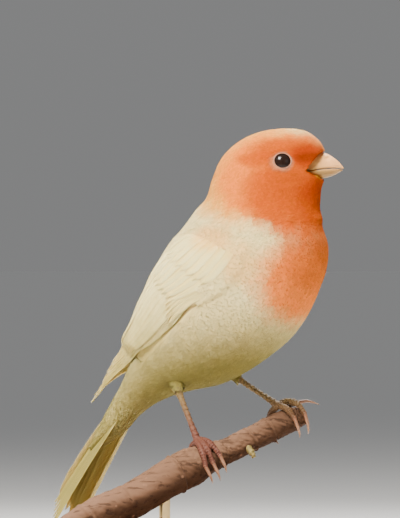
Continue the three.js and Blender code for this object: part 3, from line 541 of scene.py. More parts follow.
def markingsGroup():
    s = plumage
    group = bpy.data.node_groups.new("canaryMarkings", "ShaderNodeTree")
    group.interface.new_socket(name="Place", in_out="INPUT", socket_type="NodeSocketVector")
    group.interface.new_socket(name="Colour", in_out="OUTPUT", socket_type="NodeSocketColor")
    place = group.nodes.new("NodeGroupInput").outputs[0]
    pivot = placed(np.array([[pose["neckPivot"], 0.0, 0.0]]), 1)[0]
    placeFor = {}
    for name, heading in (("head", pose["headHeading"]), ("body", pose["bodyHeading"])):
        turned = addNode(group, "Mapping", {"vector_type": "TEXTURE"}, place,
                         Location=tuple(pivot * mm), Rotation=(0, 0, -heading))
        forward, left, up = splitAxes(group, turned.outputs[0])
        joined = addNode(group, "CombineXYZ")
        fillSockets(group, joined.inputs, (forward, maths(group, "ABSOLUTE", left), up))
        placeFor[name] = joined.outputs[0]

    def vectorMaths(operation, first, second=None):
        node = addNode(group, "VectorMath", {"operation": operation})
        group.links.new(first, node.inputs[0])
        if second is not None:
            node.inputs[1].default_value = second
        return node.outputs["Value" if operation == "LENGTH" else "Vector"]

    ragged = noiseOn(group, place, 330.0, 3.0)
    ragged = maths(group, "MULTIPLY_ADD", ragged, s["edgeNoise"], -0.5 * s["edgeNoise"])
    colour = blended(group, noiseOn(group, place, 60.0, 2.0), s["cream"], s["ivory"])
    for where, tint, middle, reach, edge, strength in markings:
        centre = ((middle[0] - pose["neckPivot"]) * mm, middle[1] * mm, middle[2] * mm)
        offset = vectorMaths("SUBTRACT", placeFor[where], centre)
        apart = vectorMaths("LENGTH", vectorMaths("DIVIDE", offset, tuple(r * mm for r in reach)))
        share = ranged(group, maths(group, "ADD", apart, ragged), 1 + edge / 2, 1 - edge / 2, high=strength)
        colour = blended(group, share, colour, s[tint])
    group.links.new(colour, group.nodes.new("NodeGroupOutput").inputs[0])
    return group


# A feather's own finish: markings by its place, a little tone of its own, barbs across it and a raised shaft
# Besides the finish, this holds where two painted shades lie: the darkening towards a feather's root, and the
# darkening of the web on the side that lies under the next feather
featherFinishAndShade = {
    "roughness": 0.78,
    "specular": 0.02,
    "toneSpread": 0.18,
    "softness": 0.35,
    "softReach": (1.2 * mm, 0.8 * mm, 0.5 * mm),
    "barbSlant": -0.9,
    "barbTone": 0.02,
    "barbBump": 0.6,
    "rootShadeEnd": 0.8,
    "webShadeEdges": (0.12, 0.75),
    "shaftWidth": 0.045,
    "shaftHeight": 1.6,
}


def featherMaterial(name, group, barbs, barbHeight, rootShade, webShade):
    s = featherFinishAndShade
    material, tree, shader = newMaterial(
        name, Roughness=s["roughness"], Specular_IOR_Level=s["specular"], Subsurface_Weight=s["softness"],
        Subsurface_Radius=s["softReach"], Subsurface_Scale=1.0)
    place = addNode(tree, "Attribute", {"attribute_name": "place"})
    marks = addNode(tree, "Group", {"node_tree": group})
    tree.links.new(place.outputs["Vector"], marks.inputs["Place"])
    tone = addNode(tree, "Attribute", {"attribute_name": "tone"}).outputs["Fac"]
    side, along, _ = splitAxes(tree, addNode(tree, "UVMap", {"uv_map": "vane"}).outputs[0])
    across = maths(tree, "ABSOLUTE", maths(tree, "SUBTRACT", side, 0.5))
    slanted = maths(tree, "MULTIPLY_ADD", across, s["barbSlant"], along)
    wave = maths(tree, "SINE", maths(tree, "MULTIPLY", slanted, barbs * 2 * math.pi))
    light = maths(tree, "MULTIPLY_ADD", tone, s["toneSpread"], 1 - s["toneSpread"] / 2)
    # Painted shade: each feather is darker towards its root, where the feathers over it would shade it
    light = maths(tree, "MULTIPLY", light, ranged(tree, along, 0.0, s["rootShadeEnd"], 1 - rootShade, eased=False))
    barred = maths(tree, "MULTIPLY_ADD", wave, s["barbTone"], 1 - s["barbTone"])
    light = maths(tree, "MULTIPLY", light, barred)
    grey = addNode(tree, "CombineColor")
    fillSockets(tree, grey.inputs, (light, light, light))
    # Partly an ochre tint of the inner web and partly painted shade: the side of each vane that lies under
    # the next feather is darkened
    webTintAndShade = ranged(tree, side, *s["webShadeEdges"], high=webShade)
    webShaded = blended(tree, webTintAndShade, marks.outputs[0], plumage["webTintAndShade"], "MULTIPLY")
    tree.links.new(blended(tree, 1.0, webShaded, grey.outputs[0], "MULTIPLY"), shader.inputs["Base Color"])
    shaft = ranged(tree, across, 0.0, s["shaftWidth"], s["shaftHeight"], 0.0, eased=False)
    addBump(tree, shader, maths(tree, "MULTIPLY_ADD", wave, 0.5, shaft), s["barbBump"], barbHeight)
    return material


markingGroup = markingsGroup()
downMaterial = featherMaterial("bodyFeathers", markingGroup, 7.0, 0.08 * mm, 0.12, 0.0)
vaneMaterial = featherMaterial("flightFeathers", markingGroup, 46.0, 0.06 * mm, 0.0, 0.55)

# The small feathers, in millimetres, and shares of a feather's length
coat = {
    "depth": 0.6,
    "depthShare": 0.28,
    "notchDepth": 2.8,
    "edgeDrop": -0.005,
    "liftShare": 0.6,
    "eyeLength": 0.8,
    "eyeGrowth": 0.55,
    "ragged": (0.2, 1.6),
    "patch": 0.003,
    "sizeStations": [0, 1, 2, 4, 6, 8, 10, 12, 16, 18, 20, 22, 24],
    "sizes": [0.9, 1.1, 1.35, 1.8, 2.3, 3.0, 4.0, 4.8, 5.2, 5.8, 6.6, 7.2, 7.0],
    "width": 0.42,
    "rise": 3.0,
    "slope": 0.28,
    "spread": 7 * degree,
    "lengths": (0.85, 1.15),
    "proud": (-0.02, 0.035),
    "thickness": 0.022,
    "wingFrom": 12.7,
    "wingTo": 17.2,
    "highMargin": 2,
    "lowMargin": 0.5,
    "lowWidening": 3,
    "liftStarts": (9.4, 10.8),
    "liftEnds": (12.6, 13.6),
    "liftMargins": (14, 7),
}


# Shares of a small feather's length, how wide it is there, and where its barbs part
featherRows = np.array([0.0, 0.3, 0.58, 0.78, 0.92, 1.0])
featherWidth = np.array([0.5, 0.98, 0.97, 0.78, 0.44, 0.06])
featherNotch = np.array([0.0, 0.04, -0.08, 0.1, -0.12, 0.0])


# Closed thin feathers in one mesh, from a function that turns a share along, a share across and a height
# into a place, for all the feathers at once
def feathersMesh(name, count, placeOf, tones, rootPlaces, patches, material):
    rows = len(featherRows)
    along = featherRows[None, :]
    notch = featherNotch[None, :] * chance.uniform(*coat["ragged"], (count, 1))
    width = featherWidth[None, :] * (1 + notch)
    other = featherWidth[None, :] * (1 - notch * 0.7)
    zero = np.zeros((count, rows))
    thick = coat["thickness"]
    points = np.stack([
        placeOf(along + zero + 0.03, -width, zero),
        placeOf(along + zero, zero, zero + thick),
        placeOf(along + zero + 0.03, other, zero),
        placeOf(along + zero, zero, zero - thick),
    ], 1)
    verts = points.reshape(-1, 3)
    quads = []
    for strip, (a, b) in enumerate([(0, 1), (1, 2), (2, 3), (3, 0)]):
        for row in range(rows - 1):
            quads.append([a * rows + row, a * rows + row + 1, b * rows + row + 1, b * rows + row])
    quads.append([0, rows, 2 * rows, 3 * rows])
    quads.append([4 * rows - 1, 3 * rows - 1, 2 * rows - 1, rows - 1])
    each = 4 * rows
    corners = (np.array(quads)[None] + (np.arange(count) * each)[:, None, None]).reshape(-1, 4)
    thing = makeMesh(name, verts, corners)
    creaseRims(thing, np.tile(np.repeat([1, 0, 2, 0], rows), count))
    sideways = np.array([0.0, 0.5, 1.0, 0.5])
    own = np.stack(np.broadcast_arrays(sideways[:, None], featherRows[None, :]), -1).reshape(1, each, 2)
    own = np.repeat(own, count, axis=0)
    addMap(thing, "OFBake", (patches[:, None, :] + coat["patch"] * (own - 0.5)).reshape(-1, 2))
    addMap(thing, "vane", own.reshape(-1, 2))
    # A feather is coloured by a place between its own root and each of its points
    mixed = 0.55 * np.repeat(rootPlaces[:, None, :], each, axis=1).reshape(-1, 3) + 0.45 * verts
    addFact(thing, "place", "FLOAT_VECTOR", mixed * mm)
    addFact(thing, "tone", "FLOAT", np.repeat(tones, each))
    dress(thing, material)


# Places spread evenly over the body, closer where the feathers are small
spreading = {"perStation": 12, "around": 144, "tries": 3.0}


def spreadPlaces(uStart, uEnd, spacing, seed):
    draw = np.random.default_rng(seed)
    around = spreading["around"]
    uEdges = np.linspace(uStart, uEnd, int((uEnd - uStart) * spreading["perStation"]) + 1)
    aEdges = np.linspace(-math.pi, math.pi, around + 1)
    u = (uEdges[:-1] + uEdges[1:])[:, None] / 2 + np.zeros(around)
    a = (aEdges[:-1] + aEdges[1:])[None, :] / 2 + np.zeros((len(uEdges) - 1, 1))
    du = uEdges[1] - uEdges[0]
    da = aEdges[1] - aEdges[0]
    stepU = bodyPlace(u + du / 2, a) - bodyPlace(u - du / 2, a)
    stepA = bodyPlace(u, a + da / 2) - bodyPlace(u, a - da / 2)
    area = lengthOf(np.cross(stepU, stepA))[..., 0]
    gap = sizeAt(u) * spacing
    weight = (area / gap ** 2).ravel()
    wanted = int(weight.sum() * spreading["tries"])
    picked = draw.choice(weight.size, wanted, p=weight / weight.sum())
    u = u.ravel()[picked] + draw.uniform(-0.5, 0.5, wanted) * du
    a = a.ravel()[picked] + draw.uniform(-0.5, 0.5, wanted) * da
    good = coatKeeps(u, a)
    u, a = u[good], a[good]
    spots = bodyPlace(u, a)
    gaps = sizeAt(u) * spacing
    cell = float(gaps.max())
    cells = {}
    chosen = []
    keys = np.floor(spots / cell).astype(int)
    for i in range(len(u)):
        x, y, z = keys[i]
        near = [j for dx in (-1, 0, 1) for dy in (-1, 0, 1) for dz in (-1, 0, 1)
                for j in cells.get((x + dx, y + dy, z + dz), ())]
        if near:
            apart = spots[near] - spots[i]
            if np.min(np.sum(apart * apart, axis=1)) < gaps[i] ** 2:
                continue
        cells.setdefault((x, y, z), []).append(i)
        chosen.append(i)
    return u[chosen], a[chosen]


def sizeAt(u):
    return np.interp(u, coat["sizeStations"], coat["sizes"])


# Where the wing's front and the shoulders lift the small feathers
def coatLift(u, angle):
    s = coat
    angle = wrapped(angle)
    low, high, lowOut, highOut = wingEdges(u)
    turned = np.abs(angle) / degree
    share = np.clip((turned - high) / np.maximum(low - high, 1), 0, 1)
    lift = highOut + (lowOut - highOut) * share
    above, below = s["liftMargins"]
    inside = smoothStep(-above, 0, turned - high * 0.6) * (1 - smoothStep(0, below, turned - low))
    started = smoothStep(*s["liftStarts"], u) * (1 - smoothStep(*s["liftEnds"], u))
    bed = reliefAt(plainPoint(u, angle), u, angle) * smoothStep(9, 9.6, u)
    return np.maximum(lift, 0) * inside * started - np.minimum(bed, 0) * started


# The eye's place on the side of the head, its size and its lid's
eyeSettings = {
    "forward": 18.6,
    "up": 127.6,
    "radius": 3.5,
    "depth": 2.8,
    "lidRadius": 2.3,
    "lidThickness": 0.17,
    "lidStretch": 1.1,
    "bare": 2.5,
    "skin": ((0.20, 0.085, 0.05), (0.42, 0.20, 0.12)),
}


# The station and angle whose place on the side is so far forward and up
def sideAt(forward, up):
    low, high = 0.0, 9.2
    for _ in range(40):
        middle = (low + high) / 2
        share = np.array(middle / lastStation)
        back, belly = backLine(share), bellyLine(share)
        chord = back - belly
        if (forward - belly[0]) * chord[1] - (up - belly[1]) * chord[0] > 0:
            high = middle
        else:
            low = middle
    share = np.array(low / lastStation)
    back, belly = backLine(share), bellyLine(share)
    chord = back - belly
    along = ((forward - belly[0]) * chord[0] + (up - belly[1]) * chord[1]) / np.dot(chord, chord)
    return low, math.acos(min(1, max(-1, 2 * along - 1)))


# The eyeball's middle and the way it looks
def eyePlace(side):
    s = eyeSettings
    u, angle = sideAt(s["forward"], s["up"])
    surface = plainPoint(np.array(u), np.array(angle * side))
    outward = plainNormal(np.array(u), np.array(angle * side))
    if outward[1] * side < 0:
        outward = -outward
    middle = surface - outward * s["depth"]
    at = placed(middle, 0)
    return at, placed(middle + outward, 0) - at


eyeU, eyeAngle = sideAt(eyeSettings["forward"], eyeSettings["up"])
eyeSpots = {side: bodyPlace(np.array(eyeU), np.array(eyeAngle * side)) for side in (-1, 1)}
# The notch that the bill fills in the face, forward and up
billNotch = np.array([
    (25.4, 124.9), (27.6, 127.6), (30.0, 130.4), (40.0, 130.8), (40.0, 122.2), (30.4, 122.3),
])
notchBlur = 0.4


def insideNotch(point):
    f, z = point[..., 0], point[..., 2]
    inside = np.zeros(f.shape, bool)
    for i in range(len(billNotch)):
        x1, z1 = billNotch[i]
        x2, z2 = billNotch[i - 1]
        crosses = (z1 > z) != (z2 > z)
        with np.errstate(divide="ignore", invalid="ignore"):
            at = (x2 - x1) * (z - z1) / (z2 - z1) + x1
        inside ^= crosses & (f < at)
    return inside


# How far inside the bill's notch a place is, from 0 outside to 1 well inside
def notchShare(point):
    inside = insideNotch(point).astype(float)
    for shift in ((1, 0, 0), (-1, 0, 0), (0, 0, 1), (0, 0, -1)):
        inside = inside + insideNotch(point + np.array(shift) * notchBlur)
    return inside / 5


skinGrid = {
    "rows": 240,
    "around": 160,
    "shortOf": 0.3,
    "eyeFade": (2.6, 4.6),
    "eyeShallow": 0.75,
    "billFade": (2.2, 0.4),
    "billShallow": 0.4,
}


def addSkin():
    s = skinGrid
    rows, around = s["rows"], s["around"]
    u = np.linspace(0, lastStation - s["shortOf"], rows)[:, None] + np.zeros(around)
    angle = np.linspace(0, 2 * math.pi, around, endpoint=False)[None, :] + np.zeros((rows, 1))
    spots = bodyPlace(u, angle)
    nearEye = np.zeros(u.shape)
    for spot in eyeSpots.values():
        nearEye = np.maximum(nearEye, 1 - smoothStep(*s["eyeFade"], lengthOf(spots - spot)[..., 0]))
    nearBill = smoothStep(*s["billFade"], u)
    depth = coat["depth"] * (1 - s["eyeShallow"] * nearEye) * (1 - s["billShallow"] * nearBill)
    depth = depth + coat["notchDepth"] * notchShare(plainPoint(u, wrapped(angle)))
    skin = ringsToMesh("skin", bodyPlace(u, angle, -depth))
    addPlainFacts(skin)
    dress(skin, downMaterial)
    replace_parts(skin, "head", "neck", "torso", "thigh_right", "thigh_left")


addSkin()
print("skin made")


# Where feathers grow: not under the wings, in the bill's notch or on the bare skin round the eyes
def coatKeeps(u, angle):
    low, high = wingEdges(u)[:2]
    turned = np.abs(wrapped(angle)) / degree
    s = coat
    underWing = (u > s["wingFrom"]) & (u < s["wingTo"]) & (turned > high + s["highMargin"])
    underWing &= turned < low + s["lowMargin"] + s["lowWidening"] * smoothStep(14, 16, u)
    point = plainPoint(u, wrapped(angle))
    spots = bodyPlace(u, angle)
    nearEye = np.zeros(u.shape, bool)
    for spot in eyeSpots.values():
        nearEye |= lengthOf(spots - spot)[..., 0] < eyeSettings["bare"]
    return ~underWing & ~insideNotch(point) & ~nearEye


# The lie of the coat: along the body with a little scatter, and parting round each bare eye ring
def coatFlow(u, angle, spots):
    yaw = chance.normal(0, coat["spread"], u.shape) * smoothStep(-2, 8, u)
    tangent, across = (unit(step) for step in slopeSteps(bodyPlace, u, angle))
    radius = eyeSettings["bare"]
    for side, spot in eyeSpots.items():
        offset = spots - spot
        x = np.sum(offset * tangent, -1)
        y = np.sum(offset * across, -1)
        r2 = np.maximum(x * x + y * y, radius ** 2)
        vx = 1 - radius ** 2 * (x * x - y * y) / r2 ** 2
        vy = -2 * radius ** 2 * x * y / r2 ** 2
        close = (lengthOf(offset)[..., 0] < 4 * radius)
        yaw = yaw + np.where(close, np.arctan2(vy, np.maximum(vx, 0.15)), 0)
    return yaw


def addCoat(name, uStart, uEnd, spacing, seed):
    s = coat
    u, angle = spreadPlaces(uStart, uEnd, spacing, seed)
    count = len(u)
    spots = bodyPlace(u, angle)
    yaw = coatFlow(u, angle, spots)
    length = sizeAt(u) * chance.uniform(*s["lengths"], count)
    for spot in eyeSpots.values():
        room = lengthOf(spots - spot)[..., 0] - eyeSettings["bare"]
        length = np.minimum(length, s["eyeLength"] + s["eyeGrowth"] * np.maximum(room, 0))
    stepAlong, stepAround = (lengthOf(step)[..., 0] for step in slopeSteps(bodyPlace, u, angle))
    perStation = np.maximum(stepAlong / (2 * slopeStep["along"]), 0.3)
    perRadian = np.maximum(stepAround / (2 * slopeStep["around"]), 0.5)
    half = length * s["width"] / 2 * chance.uniform(*s["lengths"], count)
    depth = np.minimum(s["depth"], s["depthShare"] * length)
    proud = chance.uniform(*s["proud"], count) * np.minimum(length / 4, 1)
    cos, sin = np.cos(yaw)[:, None], np.sin(yaw)[:, None]

    def placeOf(share, sideways, lift):
        forward = share * length[:, None]
        aside = sideways * half[:, None]
        uu = u[:, None] + (forward * cos - aside * sin) / perStation[:, None]
        aa = angle[:, None] + (forward * sin + aside * cos) / perRadian[:, None]
        uu = np.clip(uu, 0, lastStation)
        left = 1 - np.clip(share, 0, 1)
        height = -depth[:, None] * (s["slope"] * left + (1 - s["slope"]) * left ** s["rise"])
        edge = s["edgeDrop"] * np.abs(sideways) * length[:, None]
        out = height + proud[:, None] * share + edge + lift * s["liftShare"] + coatLift(uu, aa)
        return bodyPlace(uu, aa, out)

    patches = np.stack([wrapped(angle) / (2 * math.pi) + 0.5, u / lastStation], -1) * 0.98 + 0.01
    feathersMesh(name, count, placeOf, chance.uniform(0, 1, count), spots, patches, downMaterial)
    print(name, count, "feathers")


# Each piece: first and last station, spacing as a share of a feather's length, and seed
coatPieces = {
    "faceFeathers": (0.0, 3.0, 0.18, 21),
    "crownFeathers": (3.0, 5.0, 0.16, 22),
    "napeFeathers": (5.0, 7.0, 0.15, 27),
    "neckFeathers": (7.0, 9.0, 0.13, 23),
    "shoulderFeathers": (9.0, 10.7, 0.12, 28),
    "breastFeathers": (10.7, 12.2, 0.115, 24),
    "sideFeathers": (12.2, 14.2, 0.11, 29),
    "bellyFeathers": (14.2, 17.0, 0.11, 25),
    "rumpFeathers": (17.0, 23.2, 0.105, 26),
}
for pieceName, (uStart, uEnd, pieceSpacing, pieceSeed) in coatPieces.items():
    addCoat(pieceName, uStart, uEnd, pieceSpacing, pieceSeed)

# The folded wing's outer face as a fine table of places, asked for by shares along and across
wingGrid = {
    "along": 161,
    "across": 41,
    "columns": 7,
    "dense": 400,
    "archWay": (-0.35, 0.75, 0.55),
    "beyond": 70,
}


def wingFace(side):
    shares = np.linspace(0, 1, wingGrid["columns"])
    dense = np.linspace(0, 1, wingGrid["dense"])
    alongs = np.linspace(0, 1, wingGrid["along"])
    columns = []
    for share in shares:
        bulgeShare = math.sin(math.pi * share)
        places = []
        for u, low, high, lowOut, highOut, arch in wingOnBody:
            angle = np.array((low + (high - low) * share) * degree * side)
            out = lowOut + (highOut - lowOut) * share + arch * bulgeShare
            places.append(plainPoint(np.array(u), angle) + plainNormal(np.array(u), angle) * out)
        for low, high, arch in wingFree:
            place = (np.array(low) * (1 - share) + np.array(high) * share) * (1, side, 1)
            if side > 0:
                crossed = smoothStep(wingCross["from"], wingCross["to"], place[0])
                place = place + np.array(wingCross["move"]) * crossed
            bulge = arch * bulgeShare
            places.append(place + np.array(wingGrid["archWay"]) * (1, side, 1) * bulge)
        line = curveThrough(places)(dense)
        walked = np.concatenate([[0], np.cumsum(lengthOf(np.diff(line, axis=0))[:, 0])])
        even = np.interp(alongs, walked / walked[-1], dense)
        columns.append(curveThrough(places)(even))
    table = np.array(columns)
    acrossShares = np.linspace(0, 1, wingGrid["across"])
    rows = [curveThrough(table[:, i])(acrossShares) for i in range(wingGrid["along"])]
    grid = placed(np.array(rows), 1)
    normals = unit(np.cross(np.gradient(grid, axis=0), np.gradient(grid, axis=1)))
    outwards = placed(np.array([0.0, side, 0.0]), 1) - placed(np.array([0.0, 0.0, 0.0]), 1)
    middleRow = wingGrid["across"] // 2
    flip = np.sign(np.sum(normals * outwards, -1, keepdims=True))
    normals = normals * np.where(flip == 0, 1, flip)

    def sample(table, along, across):
        x = np.clip(along, 0, 1) * (wingGrid["along"] - 1)
        y = np.clip(across, 0, 1) * (wingGrid["across"] - 1)
        i = np.minimum(x.astype(int), wingGrid["along"] - 2)
        j = np.minimum(y.astype(int), wingGrid["across"] - 2)
        p, q = (x - i)[..., None], (y - j)[..., None]
        return (table[i, j] * (1 - p) * (1 - q) + table[i + 1, j] * p * (1 - q)
                + table[i, j + 1] * (1 - p) * q + table[i + 1, j + 1] * p * q)

    def place(along, across, out):
        spot = sample(grid, along, across)
        beyond = np.maximum(along - 1, 0)[..., None] * wingGrid["beyond"]
        back = unit(grid[-1, middleRow] - grid[-4, middleRow])
        return spot + sample(normals, along, across) * out[..., None] + back * beyond

    widths = lengthOf(grid[:, -1] - grid[:, 0])[:, 0]
    length = lengthOf(np.diff(grid[:, middleRow], axis=0)).sum()
    return place, (lambda along: np.interp(along, alongs, widths)), length


# Tiers: how many, first and last root and end as shares along and across, widths, heights over the face, how
# far each leans and how pointed it is
wingTiers = {
    "primaries": (9, (0.34, 0.08), (0.34, 0.36), (0.995, 0.30), (0.76, 0.90),
                  5.0, 6.6, -1.15, -0.7, 0.20, 0.75),
    "secondaries": (7, (0.26, 0.20), (0.24, 0.66), (0.91, 0.36), (0.67, 0.80),
                    5.6, 6.8, -0.85, -0.34, 0.20, 0.7),
    "tertials": (3, (0.22, 0.70), (0.18, 0.86), (0.80, 0.87), (0.54, 0.92),
                 6.6, 6.2, -0.25, 0.15, 0.22, 0.7),
    "primaryCoverts": (5, (0.15, 0.06), (0.14, 0.20), (0.47, 0.09), (0.40, 0.26),
                       3.0, 3.4, -0.62, -0.35, 0.12, 0.6),
    "alula": (3, (0.08, 0.03), (0.09, 0.12), (0.26, 0.05), (0.22, 0.13),
              2.6, 2.8, -0.3, -0.1, 0.10, 0.5),
    "greaterCoverts": (9, (0.13, 0.16), (0.12, 0.90), (0.375, 0.24), (0.345, 0.92),
                       4.4, 4.4, -0.2, 0.05, 0.16, 0.2),
    "medianCoverts": (9, (0.06, 0.14), (0.06, 0.88), (0.235, 0.17), (0.225, 0.90),
                      4.4, 4.4, 0.1, 0.2, 0.16, 0.15),
}
# How far each primary ends before the wing tip, and where across the wing
primaryShorter = [1.5, 0, 0, 2.5, 7, 10.5, 13.5, 16, 18]
primaryAcross = [0.3, 0.42, 0.55, 0.66, 0.76, 0.83, 0.87, 0.9, 0.92]
# The plain sheet under the long feathers
wingCore = {"end": 0.80, "edge": 0.04, "under": 1.7}
wingLean = 1.5  # how far each feather tips over the next one
vaneGrid = {"rows": 22, "columns": 9, "thickness": 0.11, "camber": -0.25, "shaft": 0.07, "split": 0.06}


# The outline of a long feather: half widths along it for one edge, rounded or drawn out at the tip
def vaneHalf(share, point):
    start = np.clip(0.55 + share * 3.0, 0, 1)
    taper = 1 - 0.45 * point * smoothStep(0.35, 1, share)
    tip = np.sqrt(np.clip(1 - smoothStep(0.80 - 0.25 * point, 1.0, share) ** 1.5, 0, 1))
    return start * taper * (0.06 + 0.94 * tip)


# One long feather as a closed thin sheet, from a function of a share along and a share across in -1 to 1
def vaneSheet(placeOf, point, leading):
    rows, columns = vaneGrid["rows"], vaneGrid["columns"]
    share = np.linspace(0, 1, rows)[:, None] + np.zeros(columns)
    side = np.linspace(-1, 1, columns)[None, :] + np.zeros((rows, 1))
    scale = np.where(side < 0, leading, 1.0)
    ragged = np.sin(share * 40 + side * 3) * (np.abs(side) > 0.9)
    split = 1 + vaneGrid["split"] * ragged * smoothStep(0.3, 0.9, share)
    width = side * scale * vaneHalf(share, point) * split
    ahead = share + 0.02 * (1 - np.abs(side)) - 0.01
    camber = vaneGrid["camber"] * side * side
    shaft = np.where(np.abs(side) < 0.05, vaneGrid["shaft"], 0.0)
    thin = vaneGrid["thickness"] * (1 - 0.55 * np.abs(side))
    upper = placeOf(ahead, width, camber + shaft + thin / 2)
    lower = placeOf(ahead, width, camber - shaft - thin / 2)
    points = np.vstack([upper.reshape(-1, 3), lower.reshape(-1, 3)])
    top = gridQuads(rows, columns)
    size = rows * columns
    rim = [r * columns for r in range(rows - 1, 0, -1)]
    rim += list(range(columns - 1))
    rim += [r * columns + columns - 1 for r in range(rows - 1)]
    rim += [(rows - 1) * columns + c for c in range(columns - 1, 0, -1)]
    rim = np.array(rim)
    following = np.roll(rim, -1)
    wall = np.stack([rim, following, following + size, rim + size], -1)
    quads = np.vstack([top[:, ::-1], top + size, wall])
    own = np.stack([(side + 1) / 2, share], -1).reshape(-1, 2)
    return points, quads, np.vstack([own, own])


# Joins the sheets of one wing or tail into one piece, each with its own strip of the UV map
def sheetsToMesh(name, sheets, seed):
    draw = np.random.default_rng(seed)
    points, quads, own, strips, tones = [], [], [], [], []
    before = 0
    for i, (verts, faces, local) in enumerate(sheets):
        points.append(verts)
        quads.append(faces + before)
        own.append(local)
        strips.append(np.stack([(i + 0.05 + 0.9 * local[:, 0]) / len(sheets), 0.01 + 0.98 * local[:, 1]], -1))
        tones.append(np.full(len(verts), draw.uniform(0.2, 0.8)))
        before += len(verts)
    points = np.vstack(points)
    thing = makeMesh(name, points, np.vstack(quads))
    addMap(thing, "OFBake", np.vstack(strips))
    addMap(thing, "vane", np.vstack(own))
    addFact(thing, "place", "FLOAT_VECTOR", points * mm)
    addFact(thing, "tone", "FLOAT", np.concatenate(tones))
    tidyMesh(thing, merge=False)
    rim = np.zeros((vaneGrid["rows"], vaneGrid["columns"]), int)
    rim[[0, -1]] = 1
    rim[:, [0, -1]] = 1
    creaseRims(thing, np.tile(np.concatenate([rim.ravel(), rim.ravel() * 2]), len(sheets)))
    dress(thing, vaneMaterial)
    return thing


def addWing(name, side):
    place, widthAt, wholeLength = wingFace(side)
    sheets = []
    for tier, (count, root0, root1, tip0, tip1, width0, width1, out0, out1, lean, point) in wingTiers.items():
        for i in range(count):
            share = i / (count - 1)
            root = np.array(root0) + (np.array(root1) - root0) * share
            tip = np.array(tip0) + (np.array(tip1) - tip0) * share
            if tier == "primaries":
                tip = np.array([1 - primaryShorter[i] / wholeLength, primaryAcross[i]])
            width = width0 + (width1 - width0) * share
            out = out0 + (out1 - out0) * share + chance.uniform(-0.03, 0.03)
            bow = chance.uniform(-0.01, 0.01)
            tipSink = 0.4 if tier in ("secondaries", "tertials") else 0.0

            def placeOf(along, sideways, height):
                shareAlong = root[0] + (tip[0] - root[0]) * along
                middle = root[1] + (tip[1] - root[1]) * along + bow * np.sin(math.pi * along)
                here = np.maximum(widthAt(shareAlong), 1)
                half = 0.5 * width * sideways * np.clip(here / widthAt(0.5), 0.4, 1) / here
                sunk = -0.5 * (1 - smoothStep(0, 0.15, along)) - tipSink * smoothStep(0.6, 1, along)
                over = out + height - wingLean * lean * sideways + sunk
                across = middle + half
                outside = np.maximum(-across, 0) + np.maximum(across - 1, 0)
                return place(shareAlong, np.clip(across, 0.0, 1.0), over - 2.5 * outside)

            sheets.append(vaneSheet(placeOf, point, 0.8))

    def corePlace(along, sideways, height):
        across = 0.5 + (0.5 - wingCore["edge"]) * sideways
        return place(wingCore["end"] * along, across, height - wingCore["under"])

    sheets.append(vaneSheet(corePlace, 0.2, 1.0))
    thing = sheetsToMesh(name, sheets, 31 + side)
    print(name, len(sheets), "feathers")
    return thing


for wingName, wingSide in (("right", -1), ("left", 1)):
    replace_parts(addWing("wingFeathers." + wingName, wingSide), "wing_" + wingName)

tail = {
    "root": (-35.2, 55.4),
    "slope": 55 * degree,
    "roof": 32 * degree,
    "pairs": 6,
    "rootSpread": 2.6,
    "tipSpread": 7.6,
    "width": 5.6,
    "innerLength": 34.5,
    "outerLength": 42.5,
    "rise": 1.8,
    "layer": 0.42,
}


# A place of the tail: along its axis, to the left, and out from its upper face
def tailPlace(along, left, out):
    back, down = -math.cos(tail["slope"]), -math.sin(tail["slope"])
    forward = tail["root"][0] + along * back + out * down
    up = tail["root"][1] + along * down - out * back
    return placed(np.stack([forward, left, up], -1), 1)


def addTail():
    s = tail
    sheets = []
    for i in range(s["pairs"]):
        share = (i + 0.5) / s["pairs"]
        for side in (-1, 1):
            rootLeft = side * share * s["rootSpread"]
            tipLeft = side * share * s["tipSpread"]
            reach = s["innerLength"] + (s["outerLength"] - s["innerLength"]) * share * share
            slope = side * math.tan(s["roof"])
            half = (0.42 - 0.06 * share) * s["width"]
            drop = s["rise"] - abs(tipLeft) * math.tan(s["roof"])

            def placeOf(along, sideways, height):
                length = -2 + (reach + 2) * along
                left = rootLeft + (tipLeft - rootLeft) * along + half * sideways
                out = drop * along + 0.5 * np.sin(math.pi * np.clip(along, 0, 1)) - s["layer"] * i
                return tailPlace(length, left, out - slope * half * sideways + height)

            sheets.append(vaneSheet(placeOf, 0.3, 1.0))
    return sheetsToMesh("tailFeathers", sheets, 41)


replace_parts(addTail(), "tail")
print("wings and tail made")

# The bill: forward, top, mouth line, bottom and half width from its root to its tip
billStations = [
    (24.8, 129.3, 124.6, 122.6, 4.2),
    (27.2, 130.0, 124.9, 122.5, 4.1),
    (30.4, 129.9, 125.3, 122.7, 3.5),
    (33.0, 128.5, 125.5, 123.5, 2.5),
    (34.6, 127.1, 125.4, 124.4, 1.3),
    (35.4, 125.8, 125.2, 124.8, 0.35),
]
bill = {
    "overhang": 0.3,
    "steps": 70,
    "sides": 30,
    "seam": 0.03,
    "nostril": (31.2, 128.3, 0.5, 0.5),
    "pale": (0.85, 0.42, 0.16),
    "horn": (0.50, 0.235, 0.065),
    "olive": (0.17, 0.11, 0.022),
    "tipEdges": (32 * mm, 41 * mm),
    "lowEdges": (126.8 * mm, 123.8 * mm),
}


